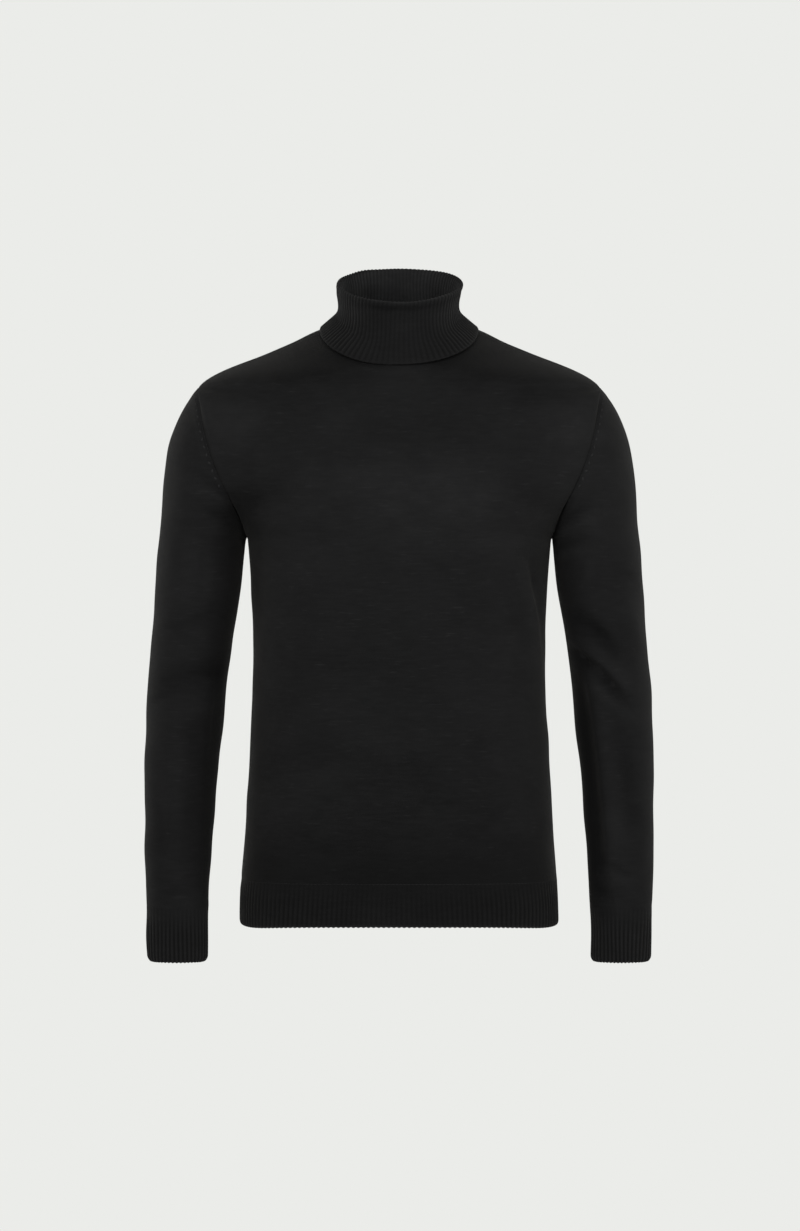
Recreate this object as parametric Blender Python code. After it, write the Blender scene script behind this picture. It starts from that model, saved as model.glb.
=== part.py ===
"""Turtleneck sweater in a fine wool knit, filled out as if worn, with nobody in it.

A knitter's pieces, each one closed wall of cloth: front, back, two set-in sleeves, two ribbed
cuffs, a ribbed hem in two halves, and a ribbed collar that stands up and folds down over itself.
Metres, +Z up. The front faces -Y and the wearer's left is at +X. The origin is the middle of the
neck at shoulder height, where the wearer carries the sweater.
"""

import bpy
import numpy as np

# Cloth thickness
WALL = 0.0016        # plain knit
RIB_CREST = 0.00045  # crest of a rib, outside the plain knit's face
RIB_VALLEY = 0.00035  # valley between two ribs, inside that face
RIB_INSIDE = 0.0018  # plain inside of ribbed cloth, behind that face
SEAM_GAP = 0.0003

# Ribs, counted round each piece
COLLAR_RIBS = 90
HEM_RIBS = 180
CUFF_RIBS = 40

# Armhole: how far the seam swings to the front and to the back of the side seam
ARMHOLE_FRONT = 0.060
ARMHOLE_BACK = 0.064
ARMHOLE_EASE = 1.3   # more makes the front and back flatten sooner towards the armhole
SHOULDER_EASE = 0.3  # the same at the shoulder point
EASE_ROWS = 0.8      # rows of the body's table over which that fades

# Facets
PANEL_COLUMNS = 18    # across the front, and across the back
SLEEVE_COLUMNS = 24   # round a sleeve
COLLAR_INNER_STEP = 5  # rib columns for each column of the collar's plain side
HEM_INNER_STEP = 3
CUFF_INNER_STEP = 2
FINE = 480            # points read on a section before they are spread evenly along it
SHARP_EDGE = 0.7      # radians between two faces, past which the edge between them is shaded sharp

# Body, a row for each key section from the neck seam to the hem's edge.
# side_x, side_z: the seam at the side. front, back: depth at the middle from the side seam's plane.
# power: 2 is an ellipse, more is squarer.
BODY_HEAD = ("side_x", "side_z", "front", "front_z", "back", "back_z", "power")
BODY = (
    (0.0770, +0.0065, 0.0750, -0.0280, 0.0600, +0.0275, 2.00),  # neck seam
    (0.1029, +0.0008, 0.0800, -0.0340, 0.0680, +0.0200, 2.00),
    (0.1282, -0.0115, 0.0848, -0.0400, 0.0770, +0.0090, 2.00),
    (0.1742, -0.0299, 0.0900, -0.0485, 0.0880, -0.0110, 2.05),
    (0.2156, -0.0483, 0.0955, -0.0590, 0.0970, -0.0360, 2.10),
    (0.2310, -0.0610, 0.1005, -0.0720, 0.1030, -0.0610, 2.20),  # shoulder point
    (0.2297, -0.0725, 0.1055, -0.0960, 0.1075, -0.0880, 2.25),
    (0.2245, -0.1038, 0.1100, -0.1220, 0.1108, -0.1170, 2.30),
    (0.2128, -0.1467, 0.1141, -0.1490, 0.1130, -0.1460, 2.35),
    (0.1937, -0.1895, 0.1177, -0.1770, 0.1142, -0.1750, 2.40),
    (0.1790, -0.2209, 0.1206, -0.2050, 0.1145, -0.2040, 2.45),
    (0.1748, -0.2323, 0.1225, -0.2330, 0.1140, -0.2330, 2.50),  # underarm
    (0.1701, -0.2890, 0.1225, -0.2890, 0.1102, -0.2890, 2.50),
    (0.1678, -0.3460, 0.1193, -0.3460, 0.1045, -0.3460, 2.50),
    (0.1681, -0.4030, 0.1152, -0.4030, 0.1000, -0.4030, 2.50),
    (0.1705, -0.4600, 0.1122, -0.4600, 0.0990, -0.4600, 2.55),
    (0.1739, -0.5170, 0.1120, -0.5170, 0.1025, -0.5170, 2.65),
    (0.1772, -0.5740, 0.1135, -0.5740, 0.1080, -0.5740, 2.75),
    (0.1813, -0.6300, 0.1160, -0.6300, 0.1130, -0.6300, 2.90),  # top of the hem's rib
    (0.1823, -0.6725, 0.1170, -0.6725, 0.1150, -0.6725, 3.00),  # hem's edge
)
SHOULDER_ROW = 5
UNDERARM_ROW = 11
HEM_ROW = 18
EDGE_ROW = 19
HEM_CORNER_DROP = 0.002  # the hem's edge hangs a little lower near its corners
CORNER_PEAK = 2.1        # brings the curve x^4 (1 - x^12), x from 0 to 1 at the side, to a height of 1
FACING_GAIN = 1.6        # a fold has its whole height where the cloth faces within 50 degrees of it

# Sleeve at the wearer's left, a row for each key section from the armhole to the cuff's edge.
# outer, inner: the section's ends away from the body and beside it. front, back: half depths.
SLEEVE_HEAD = ("outer_x", "outer_z", "inner_x", "inner_z", "middle_y", "front", "back")
SLEEVE = (
    (0.2310, -0.0610, 0.1748, -0.2323, +0.000, ARMHOLE_FRONT, ARMHOLE_BACK),
    (0.2478, -0.0851, 0.1752, -0.2340, +0.001, 0.0602, 0.0636),
    (0.2605, -0.1127, 0.1757, -0.2360, +0.002, 0.0600, 0.0625),
    (0.2674, -0.1403, 0.1762, -0.2385, +0.003, 0.0595, 0.0612),
    (0.2714, -0.1771, 0.1767, -0.2420, +0.004, 0.0585, 0.0595),
    (0.2743, -0.2139, 0.1773, -0.2475, +0.005, 0.0572, 0.0575),
    (0.2779, -0.2480, 0.1786, -0.2600, +0.006, 0.0558, 0.0553),
    (0.2812, -0.2960, 0.1831, -0.2960, +0.008, 0.0525, 0.0520),  # upper arm, level from here on
    (0.2853, -0.3480, 0.1920, -0.3480, +0.010, 0.0495, 0.0490),
    (0.2895, -0.4000, 0.1982, -0.4000, +0.010, 0.0465, 0.0470),  # elbow
    (0.2917, -0.4520, 0.2030, -0.4520, +0.006, 0.0445, 0.0445),
    (0.2925, -0.5040, 0.2086, -0.5040, -0.002, 0.0410, 0.0410),
    (0.2922, -0.5560, 0.2130, -0.5560, -0.011, 0.0370, 0.0370),
    (0.2912, -0.6080, 0.2161, -0.6080, -0.020, 0.0320, 0.0320),
    (0.2888, -0.6555, 0.2181, -0.6555, -0.028, 0.0275, 0.0275),  # top of the cuff's rib
    (0.2870, -0.7205, 0.2186, -0.7205, -0.038, 0.0250, 0.0250),  # cuff's edge
)
LEVEL_ROW = 7
CUFF_ROW = 14
CUFF_EDGE_ROW = 15

# Collar's face, a row for each ring: up the inside from the neck seam, over the fold and down the
# outside to the edge that lies on the shoulders. power: how square the ring's front half is.
COLLAR_HEAD = ("side_x", "side_z", "front", "front_z", "back", "back_z", "power")
COLLAR = (
    (0.0744, +0.0046, 0.0715, -0.0305, 0.0562, +0.0258, 2.00),
    (0.0650, +0.0240, 0.0625, -0.0060, 0.0528, +0.0450, 2.00),
    (0.0638, +0.0420, 0.0605, +0.0150, 0.0520, +0.0640, 2.00),
    (0.0668, +0.0555, 0.0625, +0.0310, 0.0542, +0.0776, 2.00),
    (0.0700, +0.0598, 0.0657, +0.0355, 0.0576, +0.0818, 2.00),  # top of the fold
    (0.0730, +0.0560, 0.0690, +0.0318, 0.0608, +0.0776, 2.00),
    (0.0698, +0.0400, 0.0670, +0.0101, 0.0595, +0.0606, 2.02),
    (0.0706, +0.0250, 0.0700, -0.0104, 0.0618, +0.0442, 2.10),
    (0.0784, +0.0165, 0.0768, -0.0228, 0.0680, +0.0305, 2.25),
    (0.0905, +0.0068, 0.0870, -0.0372, 0.0765, +0.0188, 2.40),
)

# Largest folds, each a soft ridge (height above 0) or trough (below 0) along a line of the front
# view. face: -1 on the front, +1 on the back.
FOLD_HEAD = ("x_top", "z_top", "x_low", "z_low", "height", "width", "face")
FOLDS = (
    # sleeve at the wearer's left
    (+0.196, -0.340, +0.266, -0.402, +0.0030, 0.015, -1),
    (+0.190, -0.362, +0.262, -0.424, -0.0035, 0.013, -1),
    (+0.222, -0.425, +0.243, -0.560, +0.0032, 0.012, -1),
    (+0.243, -0.560, +0.245, -0.640, +0.0026, 0.011, -1),
    (+0.208, -0.430, +0.226, -0.620, -0.0028, 0.012, -1),
    (+0.270, -0.330, +0.205, -0.372, -0.0032, 0.014, +1),
    (+0.275, -0.370, +0.210, -0.412, +0.0030, 0.014, +1),
    (+0.268, -0.430, +0.250, -0.600, +0.0025, 0.014, +1),
    # sleeve at the wearer's right
    (-0.206, -0.352, -0.280, -0.372, +0.0028, 0.015, -1),
    (-0.205, -0.385, -0.278, -0.402, -0.0034, 0.014, -1),
    (-0.262, -0.430, -0.262, -0.600, +0.0030, 0.013, -1),
    (-0.236, -0.440, -0.240, -0.600, -0.0024, 0.013, -1),
    (-0.272, -0.340, -0.204, -0.378, -0.0030, 0.014, +1),
    (-0.276, -0.375, -0.210, -0.415, +0.0028, 0.014, +1),
    # front
    (+0.141, -0.270, +0.160, -0.400, +0.0030, 0.013, -1),
    (-0.146, -0.275, -0.152, -0.420, +0.0024, 0.013, -1),
    (+0.176, -0.196, +0.126, -0.170, -0.0030, 0.016, -1),
    (-0.176, -0.196, -0.128, -0.168, -0.0030, 0.016, -1),
    # back
    (+0.160, -0.330, +0.050, -0.372, -0.0030, 0.018, +1),
    (-0.160, -0.345, -0.060, -0.330, -0.0030, 0.018, +1),
    (+0.150, -0.410, +0.030, -0.425, +0.0026, 0.018, +1),
    (-0.155, -0.395, -0.040, -0.405, +0.0026, 0.018, +1),
    (+0.180, -0.190, +0.130, -0.150, -0.0030, 0.016, +1),
    (-0.180, -0.190, -0.130, -0.150, -0.0030, 0.016, +1),
)

# Colours, roughness (a knit this dark gives back about a hundredth of the light)
BLACK_KNIT = ((0.0125, 0.0125, 0.0135, 1.0), 0.88)
BLACK_RIB = ((0.0095, 0.0095, 0.0105, 1.0), 0.90)

COLLECTION = "turtleneck_sweater"


# ---- reading the tables

def spline_weights(count, at):
    """Weights of a table's rows at the row numbers `at`, along a natural cubic spline."""
    rows = np.arange(1, count - 1)
    system = np.eye(count)
    system[rows, rows - 1] = 1.0
    system[rows, rows] = 4.0
    system[rows, rows + 1] = 1.0
    turns = np.zeros((count, count))
    turns[rows, rows - 1] = 6.0
    turns[rows, rows] = -12.0
    turns[rows, rows + 1] = 6.0
    bends = np.linalg.solve(system, turns)
    at = np.asarray(at, dtype=float)
    low = np.clip(np.floor(at).astype(int), 0, count - 2)
    right = (at - low)[:, None]
    left = 1.0 - right
    unit = np.eye(count)
    flat = left * unit[low] + right * unit[low + 1]
    curve = (left**3 - left) * bends[low] + (right**3 - right) * bends[low + 1]
    return flat + curve / 6.0


def read_table(names, table, at):
    """Each column of a table as a smooth curve, read at the row numbers `at`, one row each."""
    values = spline_weights(len(table), at) @ np.array(table)
    return {name: values[:, [index]] for index, name in enumerate(names)}


def spread_evenly(sections, count):
    """Each section's points moved along it to `count` places an equal way apart."""
    steps = np.linalg.norm(np.diff(sections, axis=1), axis=2)
    spread = np.empty((len(sections), count, 3))
    for row, section in enumerate(sections):
        along = np.concatenate(([0.0], np.cumsum(steps[row])))
        places = np.linspace(0.0, along[-1], count)
        for axis in range(3):
            spread[row, :, axis] = np.interp(places, along, section[:, axis])
    return spread


# ---- the garment's face, as grids of points: rows down the cloth, columns round it

def body_half(at, columns, face):
    """Half of the body at rows `at`: the front (face -1) from -X to +X, or the back from +X to -X.

    A section runs from side seam to side seam as a squared ellipse. Between the shoulder point and
    the underarm it starts and ends at the armhole instead, which opens and closes as a sine.
    """
    at = np.asarray(at, dtype=float)
    row = read_table(BODY_HEAD, BODY, at)
    depth = row["front"] if face < 0 else row["back"]
    middle_z = row["front_z"] if face < 0 else row["back_z"]
    turn = np.clip((at - SHOULDER_ROW) / (UNDERARM_ROW - SHOULDER_ROW), 0.0, 1.0)[:, None]
    openness = np.sin(np.pi * turn)
    armhole = openness * (ARMHOLE_FRONT if face < 0 else ARMHOLE_BACK)
    top_z = BODY[SHOULDER_ROW][1]
    low_z = BODY[UNDERARM_ROW][1]
    inside = (turn > 0.0) & (turn < 1.0)
    side_z = np.where(inside, top_z + (low_z - top_z) * (1.0 - np.cos(np.pi * turn)) / 2.0, row["side_z"])
    across = np.sin(np.pi / 2.0 * np.linspace(1.0, -1.0, FINE + 1))[None, :] * face
    at_shoulder = np.exp(-(((at - SHOULDER_ROW) / EASE_ROWS) ** 2))[:, None]
    eased = (1.0 + ARMHOLE_EASE * openness**2 + SHOULDER_EASE * at_shoulder) / row["power"]
    swell = np.clip(1.0 - np.abs(across) ** row["power"], 0.0, 1.0) ** eased
    near_corner = CORNER_PEAK * np.abs(across) ** 4 * (1.0 - np.abs(across) ** 12)
    drop = HEM_CORNER_DROP * near_corner * np.clip(at - HEM_ROW, 0.0, 1.0)[:, None]
    points = np.stack((
        row["side_x"] * across,
        face * (armhole + (depth - armhole) * swell),
        side_z + (middle_z - side_z) * swell - drop,
    ), axis=-1)
    return spread_evenly(points, columns + 1)


def sleeve_tube(at, angles):
    """Sleeve at the wearer's left at rows `at`; angles run from the side beside the body (0) over
    the front to the outside (pi) and on over the back.

    A section is an ellipse in a plane that swings from the armhole's to a level one. Near the
    armhole its points also shift out to follow the seam of the front and back.
    """
    at = np.asarray(at, dtype=float)
    row = read_table(SLEEVE_HEAD, SLEEVE, at)
    outward = -np.cos(angles)[None, :]
    forward = np.sin(angles)[None, :]
    middle_x = (row["outer_x"] + row["inner_x"]) / 2.0
    middle_z = (row["outer_z"] + row["inner_z"]) / 2.0
    half_x = (row["outer_x"] - row["inner_x"]) / 2.0
    half_z = (row["outer_z"] - row["inner_z"]) / 2.0
    from_top = np.abs(np.pi - angles) / np.pi
    seam_rows = SHOULDER_ROW + (UNDERARM_ROW - SHOULDER_ROW) * from_top
    seam_x = read_table(BODY_HEAD, BODY, seam_rows)["side_x"][:, 0]
    straight_x = middle_x[0] + outward[0] * half_x[0]
    fade = np.clip(1.0 - at / LEVEL_ROW, 0.0, 1.0)[:, None] ** 2
    return np.stack((
        middle_x + outward * half_x + fade * (seam_x - straight_x),
        row["middle_y"] - np.where(forward > 0.0, row["front"], row["back"]) * forward,
        middle_z + outward * half_z + np.zeros_like(forward),
    ), axis=-1)


def collar_rings(columns):
    """The collar's visible face: rings up the inside, over the fold and down the outside.

    A ring is an ellipse behind and a squared one in front, of unlike depths. Its height is a
    quadratic in Y through its heights at the front, the sides and the back. It starts at -X and
    runs over the front, with half of its columns on each half.
    """
    row = read_table(COLLAR_HEAD, COLLAR, np.arange(len(COLLAR)))
    front_slope = (row["front_z"] - row["side_z"]) / -row["front"]
    back_slope = (row["back_z"] - row["side_z"]) / row["back"]
    bend = (back_slope - front_slope) / (row["back"] + row["front"])
    slope = back_slope - bend * row["back"]
    halves = []
    angles = np.linspace(0.0, np.pi, FINE + 1)[None, :]
    across = np.cos(angles)
    outward = np.abs(np.sin(angles))
    for face, depth, power in ((-1, row["front"], row["power"]), (+1, row["back"], 2.0)):
        x = row["side_x"] * np.sign(across) * np.abs(across) ** (2.0 / power) * face
        y = face * depth * outward ** (2.0 / power)
        z = row["side_z"] + slope * y + bend * y**2
        halves.append(spread_evenly(np.stack((x, y, z), axis=-1), columns // 2 + 1)[:, :-1])
    return np.concatenate(halves, axis=1)


def outward_normals(grid, closed):
    """Unit normals of a grid, pointing out of the cloth's face."""
    down = np.gradient(grid, axis=0)
    if closed:
        round_it = np.roll(grid, -1, axis=1) - np.roll(grid, 1, axis=1)
    else:
        round_it = np.gradient(grid, axis=1)
    return unit(np.cross(down, round_it))


def unit(vectors):
    return vectors / np.maximum(np.linalg.norm(vectors, axis=-1, keepdims=True), 1e-12)


def mirrored(grid):
    """The same cloth at the other side of the body, its columns still running the same way round."""
    other = grid[:, ::-1] * np.array((-1.0, 1.0, 1.0))
    return np.roll(other, 1, axis=1)


def fold_height(points, normals):
    """How far the folds lift or sink each point of the cloth, by its distance from each line."""
    height = np.zeros(points.shape[:-1])
    place = points[..., [0, 2]]
    for fold in FOLDS:
        row = dict(zip(FOLD_HEAD, fold))
        top = np.array((row["x_top"], row["z_top"]))
        line = np.array((row["x_low"], row["z_low"])) - top
        along = np.clip((place - top) @ line / (line @ line), 0.0, 1.0)
        distance = np.linalg.norm(place - top - along[..., None] * line, axis=-1)
        facing = np.clip(normals[..., 1] * row["face"] * FACING_GAIN, 0.0, 1.0)
        height += row["height"] * np.exp(-((distance / row["width"]) ** 2)) * facing
    return height


# ---- seams

def pull_back(points, grid, normals, edge, closed=False):
    """Move one edge of the cloth back by half a seam's gap, square to the edge and its normals.

    edge: a pair of slices into the grid, as first row, last row, first column or last column.
    """
    name, rows, columns = edge
    line = grid[rows, columns]
    if closed:
        run = np.roll(line, -1, axis=0) - np.roll(line, 1, axis=0)
    else:
        run = np.gradient(line, axis=0)
    inward = unit(np.cross(run, normals[rows, columns]))
    if name in ("last row", "first column"):
        inward = -inward
    points[rows, columns] += inward * SEAM_GAP / 2.0


# ---- solids

def knit_material(name, finish):
    colour, roughness = finish
    material = bpy.data.materials.new(name)
    material.use_nodes = True
    shader = material.node_tree.nodes["Principled BSDF"]
    shader.inputs["Base Color"].default_value = colour
    shader.inputs["Roughness"].default_value = roughness
    shader.inputs["Metallic"].default_value = 0.0
    material.diffuse_color = colour
    return material


def rim_faces(outer, inner, step, reverse):
    """Triangles between an edge of the face and the same edge of the inside, which has one column
    for each `step` columns of the face."""
    faces = []
    for section in range(len(inner) - 1):
        start = section * step
        middle = start + step // 2
        for column in range(start, start + step):
            corner = inner[section] if column < middle else inner[section + 1]
            faces.append((outer[column], outer[column + 1], corner))
        faces.append((outer[middle], inner[section + 1], inner[section]))
    return [face[::-1] for face in faces] if reverse else faces


def cloth_wall(name, face_points, inside_points, material, step=1, closed=False):
    """One closed solid between the cloth's face and its inside, with rims along its open edges."""
    rows, face_columns = face_points.shape[:2]
    inside_columns = inside_points.shape[1]
    face_index = np.arange(rows * face_columns).reshape(rows, face_columns)
    inside_index = np.arange(rows * inside_columns).reshape(rows, inside_columns) + face_index.size
    if closed:
        face_index = np.concatenate((face_index, face_index[:, :1]), axis=1)
        inside_index = np.concatenate((inside_index, inside_index[:, :1]), axis=1)
    faces = []
    for index, reverse in ((face_index, False), (inside_index, True)):
        quads = np.stack((index[:-1, :-1], index[1:, :-1], index[1:, 1:], index[:-1, 1:]), axis=-1)
        quads = quads.reshape(-1, 4)
        faces += (quads[:, ::-1] if reverse else quads).tolist()
    faces += rim_faces(face_index[0].tolist(), inside_index[0].tolist(), step, reverse=False)
    faces += rim_faces(face_index[-1].tolist(), inside_index[-1].tolist(), step, reverse=True)
    if not closed:
        faces += rim_faces(face_index[:, 0].tolist(), inside_index[:, 0].tolist(), 1, reverse=True)
        faces += rim_faces(face_index[:, -1].tolist(), inside_index[:, -1].tolist(), 1, reverse=False)
    points = np.concatenate((face_points.reshape(-1, 3), inside_points.reshape(-1, 3)))
    mesh = bpy.data.meshes.new(name)
    mesh.from_pydata(points.tolist(), [], faces)
    mesh.update()
    mesh.shade_smooth()
    mesh.set_sharp_from_angle(angle=SHARP_EDGE)
    mesh.materials.append(material)
    piece = bpy.data.objects.new(name, mesh)
    bpy.data.collections[COLLECTION].objects.link(piece)
    return piece


def ribbed_wall(name, grid, normals, edges, material, step, closed=False):
    """A ribbed piece: every other column of its face is a crest, and its inside is plain."""
    crest = np.where(np.arange(grid.shape[1]) % 2 == 1, RIB_CREST, -RIB_VALLEY)[None, :, None]
    base = grid + normals * fold_height(grid, normals)[..., None]
    trimmed = base.copy()
    for edge in edges:
        pull_back(trimmed, base, normals, edge, closed)
    face = trimmed + normals * crest
    inside = (trimmed - normals * RIB_INSIDE)[:, ::step]
    return cloth_wall(name, face, inside, material, step, closed)


def plain_wall(name, grid, normals, edges, material, closed=False):
    """A plain knit piece, with the same columns on its face and inside."""
    base = grid + normals * fold_height(grid, normals)[..., None]
    face = base.copy()
    for edge in edges:
        pull_back(face, base, normals, edge, closed)
    return cloth_wall(name, face, face - normals * WALL, material, closed=closed)


# ---- pieces

ALL = slice(None)
TOP_EDGE = ("first row", 0, ALL)
LOW_EDGE = ("last row", -1, ALL)


def panel_rows():
    """Rows of the front and back: whole ones to the shoulder point, twice as many at the armhole."""
    above = np.arange(0.0, SHOULDER_ROW)
    armhole = np.arange(SHOULDER_ROW, UNDERARM_ROW, 0.5)
    below = np.arange(UNDERARM_ROW, HEM_ROW + 1.0)
    return np.concatenate((above, armhole, below))


def sleeve_rows():
    """Rows of a sleeve: whole ones round the shoulder, twice as many where it creases."""
    return np.concatenate((np.arange(0.0, LEVEL_ROW), np.arange(LEVEL_ROW, CUFF_ROW + 0.25, 0.5)))


def share_seams(front, back, sleeve):
    """Give the cloth on both sides of each seam the same normals, so that its walls stay parallel."""
    rows = panel_rows()
    armhole_rows = np.flatnonzero((rows >= SHOULDER_ROW) & (rows <= UNDERARM_ROW))
    top = armhole_rows[0]
    underarm = armhole_rows[-1]
    side = front[:, -1] + back[:, 0]
    front_side = side.copy()
    back_side = side.copy()
    outer_column = SLEEVE_COLUMNS // 2
    for count, row in enumerate(armhole_rows):
        front_side[row] = front[row, -1] + sleeve[0, outer_column - count]
        back_side[row] = back[row, 0] + sleeve[0, (outer_column + count) % SLEEVE_COLUMNS]
    at_top = front[top, -1] + back[top, 0] + sleeve[0, outer_column]
    front_side[top] = back_side[top] = at_top
    front_side[underarm] = back_side[underarm] = (0.0, 0.0, -1.0)
    front_side = unit(front_side)
    back_side = unit(back_side)
    flip = np.array((-1.0, 1.0, 1.0))
    front[:, -1] = front_side
    front[:, 0] = front_side * flip
    back[:, 0] = back_side
    back[:, -1] = back_side * flip
    for count, row in enumerate(armhole_rows):
        sleeve[0, outer_column - count] = front_side[row]
        sleeve[0, (outer_column + count) % SLEEVE_COLUMNS] = back_side[row]


def panel_edges():
    """Edges of the front and back: neck and hem, and at each side shoulder, armhole and side seam."""
    rows = panel_rows()
    top = int(np.flatnonzero(rows == SHOULDER_ROW)[0])
    underarm = int(np.flatnonzero(rows == UNDERARM_ROW)[0])
    edges = [TOP_EDGE, LOW_EDGE]
    for first, last in ((0, top), (top, underarm), (underarm, len(rows) - 1)):
        edges.append(("first column", slice(first, last + 1), 0))
        edges.append(("last column", slice(first, last + 1), -1))
    return edges


def make_body_and_sleeves(knit):
    rows = panel_rows()
    angles = np.linspace(0.0, 2.0 * np.pi, SLEEVE_COLUMNS, endpoint=False)
    front = body_half(rows, PANEL_COLUMNS, -1)
    back = body_half(rows, PANEL_COLUMNS, +1)
    sleeve = sleeve_tube(sleeve_rows(), angles)
    front_normals = outward_normals(front, closed=False)
    back_normals = outward_normals(back, closed=False)
    sleeve_normals = outward_normals(sleeve, closed=True)
    share_seams(front_normals, back_normals, sleeve_normals)
    plain_wall("front", front, front_normals, panel_edges(), knit["front"])
    plain_wall("back", back, back_normals, panel_edges(), knit["back"])
    ends = [TOP_EDGE, LOW_EDGE]
    plain_wall("sleeve_left", sleeve, sleeve_normals, ends, knit["sleeve_left"], closed=True)
    plain_wall("sleeve_right", mirrored(sleeve), mirrored(sleeve_normals), ends,
               knit["sleeve_right"], closed=True)


def make_hem(rib):
    rows = np.linspace(HEM_ROW, EDGE_ROW, 3)
    edges = [TOP_EDGE, ("first column", ALL, 0), ("last column", ALL, -1)]
    for name, face in (("hem_front", -1), ("hem_back", +1)):
        grid = body_half(rows, HEM_RIBS, face)
        normals = outward_normals(grid, closed=False)
        ribbed_wall(name, grid, normals, edges, rib[name], HEM_INNER_STEP)


def make_cuffs(rib):
    rows = np.linspace(CUFF_ROW, CUFF_EDGE_ROW, 3)
    fine = np.linspace(0.0, 2.0 * np.pi, FINE + 1)
    grid = spread_evenly(sleeve_tube(rows, fine), 2 * CUFF_RIBS + 1)[:, :-1]
    normals = outward_normals(grid, closed=True)
    ribbed_wall("cuff_left", grid, normals, [TOP_EDGE], rib["cuff_left"], CUFF_INNER_STEP, closed=True)
    ribbed_wall("cuff_right", mirrored(grid), mirrored(normals), [TOP_EDGE], rib["cuff_right"],
                CUFF_INNER_STEP, closed=True)


def make_collar(rib):
    grid = collar_rings(2 * COLLAR_RIBS)
    normals = outward_normals(grid, closed=True)
    ribbed_wall("collar", grid, normals, [], rib["collar"], COLLAR_INNER_STEP, closed=True)


def main():
    for item in list(bpy.data.objects):
        bpy.data.objects.remove(item, do_unlink=True)
    collection = bpy.data.collections.new(COLLECTION)
    bpy.context.scene.collection.children.link(collection)
    knit = {name: knit_material(f"{name}_knit", BLACK_KNIT)
            for name in ("front", "back", "sleeve_left", "sleeve_right")}
    rib = {name: knit_material(f"{name}_rib", BLACK_RIB)
           for name in ("collar", "hem_front", "hem_back", "cuff_left", "cuff_right")}
    make_body_and_sleeves(knit)
    make_hem(rib)
    make_cuffs(rib)
    make_collar(rib)
    carrier = bpy.data.objects.new("neck_at_shoulder_height", None)
    collection.objects.link(carrier)
    for piece in collection.objects:
        if piece is not carrier:
            piece.parent = carrier


main()
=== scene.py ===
import math

import bpy
import numpy as np
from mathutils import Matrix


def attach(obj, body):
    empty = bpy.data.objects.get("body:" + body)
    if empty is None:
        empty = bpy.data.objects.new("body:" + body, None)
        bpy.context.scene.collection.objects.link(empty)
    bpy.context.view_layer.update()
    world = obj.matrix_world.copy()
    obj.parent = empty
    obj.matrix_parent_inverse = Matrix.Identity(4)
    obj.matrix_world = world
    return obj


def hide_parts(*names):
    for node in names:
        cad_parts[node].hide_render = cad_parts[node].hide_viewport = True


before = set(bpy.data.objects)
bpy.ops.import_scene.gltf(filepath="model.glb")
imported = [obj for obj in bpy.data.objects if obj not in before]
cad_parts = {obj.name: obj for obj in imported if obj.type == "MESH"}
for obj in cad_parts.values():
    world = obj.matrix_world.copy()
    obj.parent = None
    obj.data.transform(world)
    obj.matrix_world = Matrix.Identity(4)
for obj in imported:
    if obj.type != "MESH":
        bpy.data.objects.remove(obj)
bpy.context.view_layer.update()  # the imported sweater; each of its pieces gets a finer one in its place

print("packed nodes:", ", ".join(sorted(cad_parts)))


class Signal:
    # A socket of a shader tree. Arithmetic on signals and numbers adds Math nodes.

    def __init__(self, tree, socket=None):
        self.tree = tree
        self.socket = socket

    def make(self, kind, settings, values, out=0):
        # any node: its settings first, then the values or links of its sockets
        node = self.tree.nodes.new(kind)
        for key, value in settings.items():
            setattr(node, key, value)
        for key, value in values.items():
            if isinstance(value, Signal):
                self.tree.links.new(value.socket, node.inputs[key])
            else:
                node.inputs[key].default_value = value
        return Signal(self.tree, node.outputs[out])

    def math(self, operation, *others, first=None):
        values = dict(enumerate((self if first is None else first, *others)))
        return self.make("ShaderNodeMath", {"operation": operation}, values)

    def __add__(self, other): return self.math("ADD", other)
    def __sub__(self, other): return self.math("SUBTRACT", other)
    def __rsub__(self, other): return self.math("SUBTRACT", self, first=other)
    def __mul__(self, other): return self.math("MULTIPLY", other)
    def __truediv__(self, other): return self.math("DIVIDE", other)
    def __pow__(self, other): return self.math("POWER", other)

    def axis(self, name):
        return self.make("ShaderNodeSeparateXYZ", {}, {0: self}, out="XYZ".index(name))

    def noise(self, scale, detail, roughness):
        return self.make("ShaderNodeTexNoise", {}, {
            "Vector": self, "Scale": scale, "Detail": detail, "Roughness": roughness})

    def stretched(self, x, y, z):
        return self.make("ShaderNodeVectorMath", {"operation": "MULTIPLY"}, {0: self, 1: (x, y, z)})

    def between(self, low, high):
        # 0 below low, 1 above high and an even rise in between
        return self.make("ShaderNodeMapRange", {"clamp": True}, {"Value": self, 1: low, 2: high})

    def blend(self, dark, light):
        # a colour from dark to light as this signal goes from 0 to 1
        settings = {"data_type": "RGBA", "clamp_factor": False}
        return self.make("ShaderNodeMix", settings, {0: self, 6: dark, 7: light}, out=2)


stitch = {"wale": 0.0015, "course": 0.0011, "lean": 0.55, "legPower": 0.7, "loop": 0.3,
          "depth": 0.00016, "fuzz": 0.00010, "bump": 0.8}

mottles = {
    # noise: its squeeze along X and Y and along Z, scale, detail, roughness, what becomes 0 and 1
    "patches": (1.0, 1.5, 13.0, 3.0, 0.55, 0.34, 0.68),
    "streaks": (50.0, 380.0, 1.0, 3.0, 0.62, 0.36, 0.72),
    "flecks": (1.0, 1.0, 620.0, 2.0, 0.70, 0.30, 0.80),
    "slubs": (62.0, 640.0, 1.0, 1.0, 0.40, 0.66, 0.74),
    "mottle": (1.0, 1.4, 46.0, 3.0, 0.60, 0.28, 0.72),
}

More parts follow.
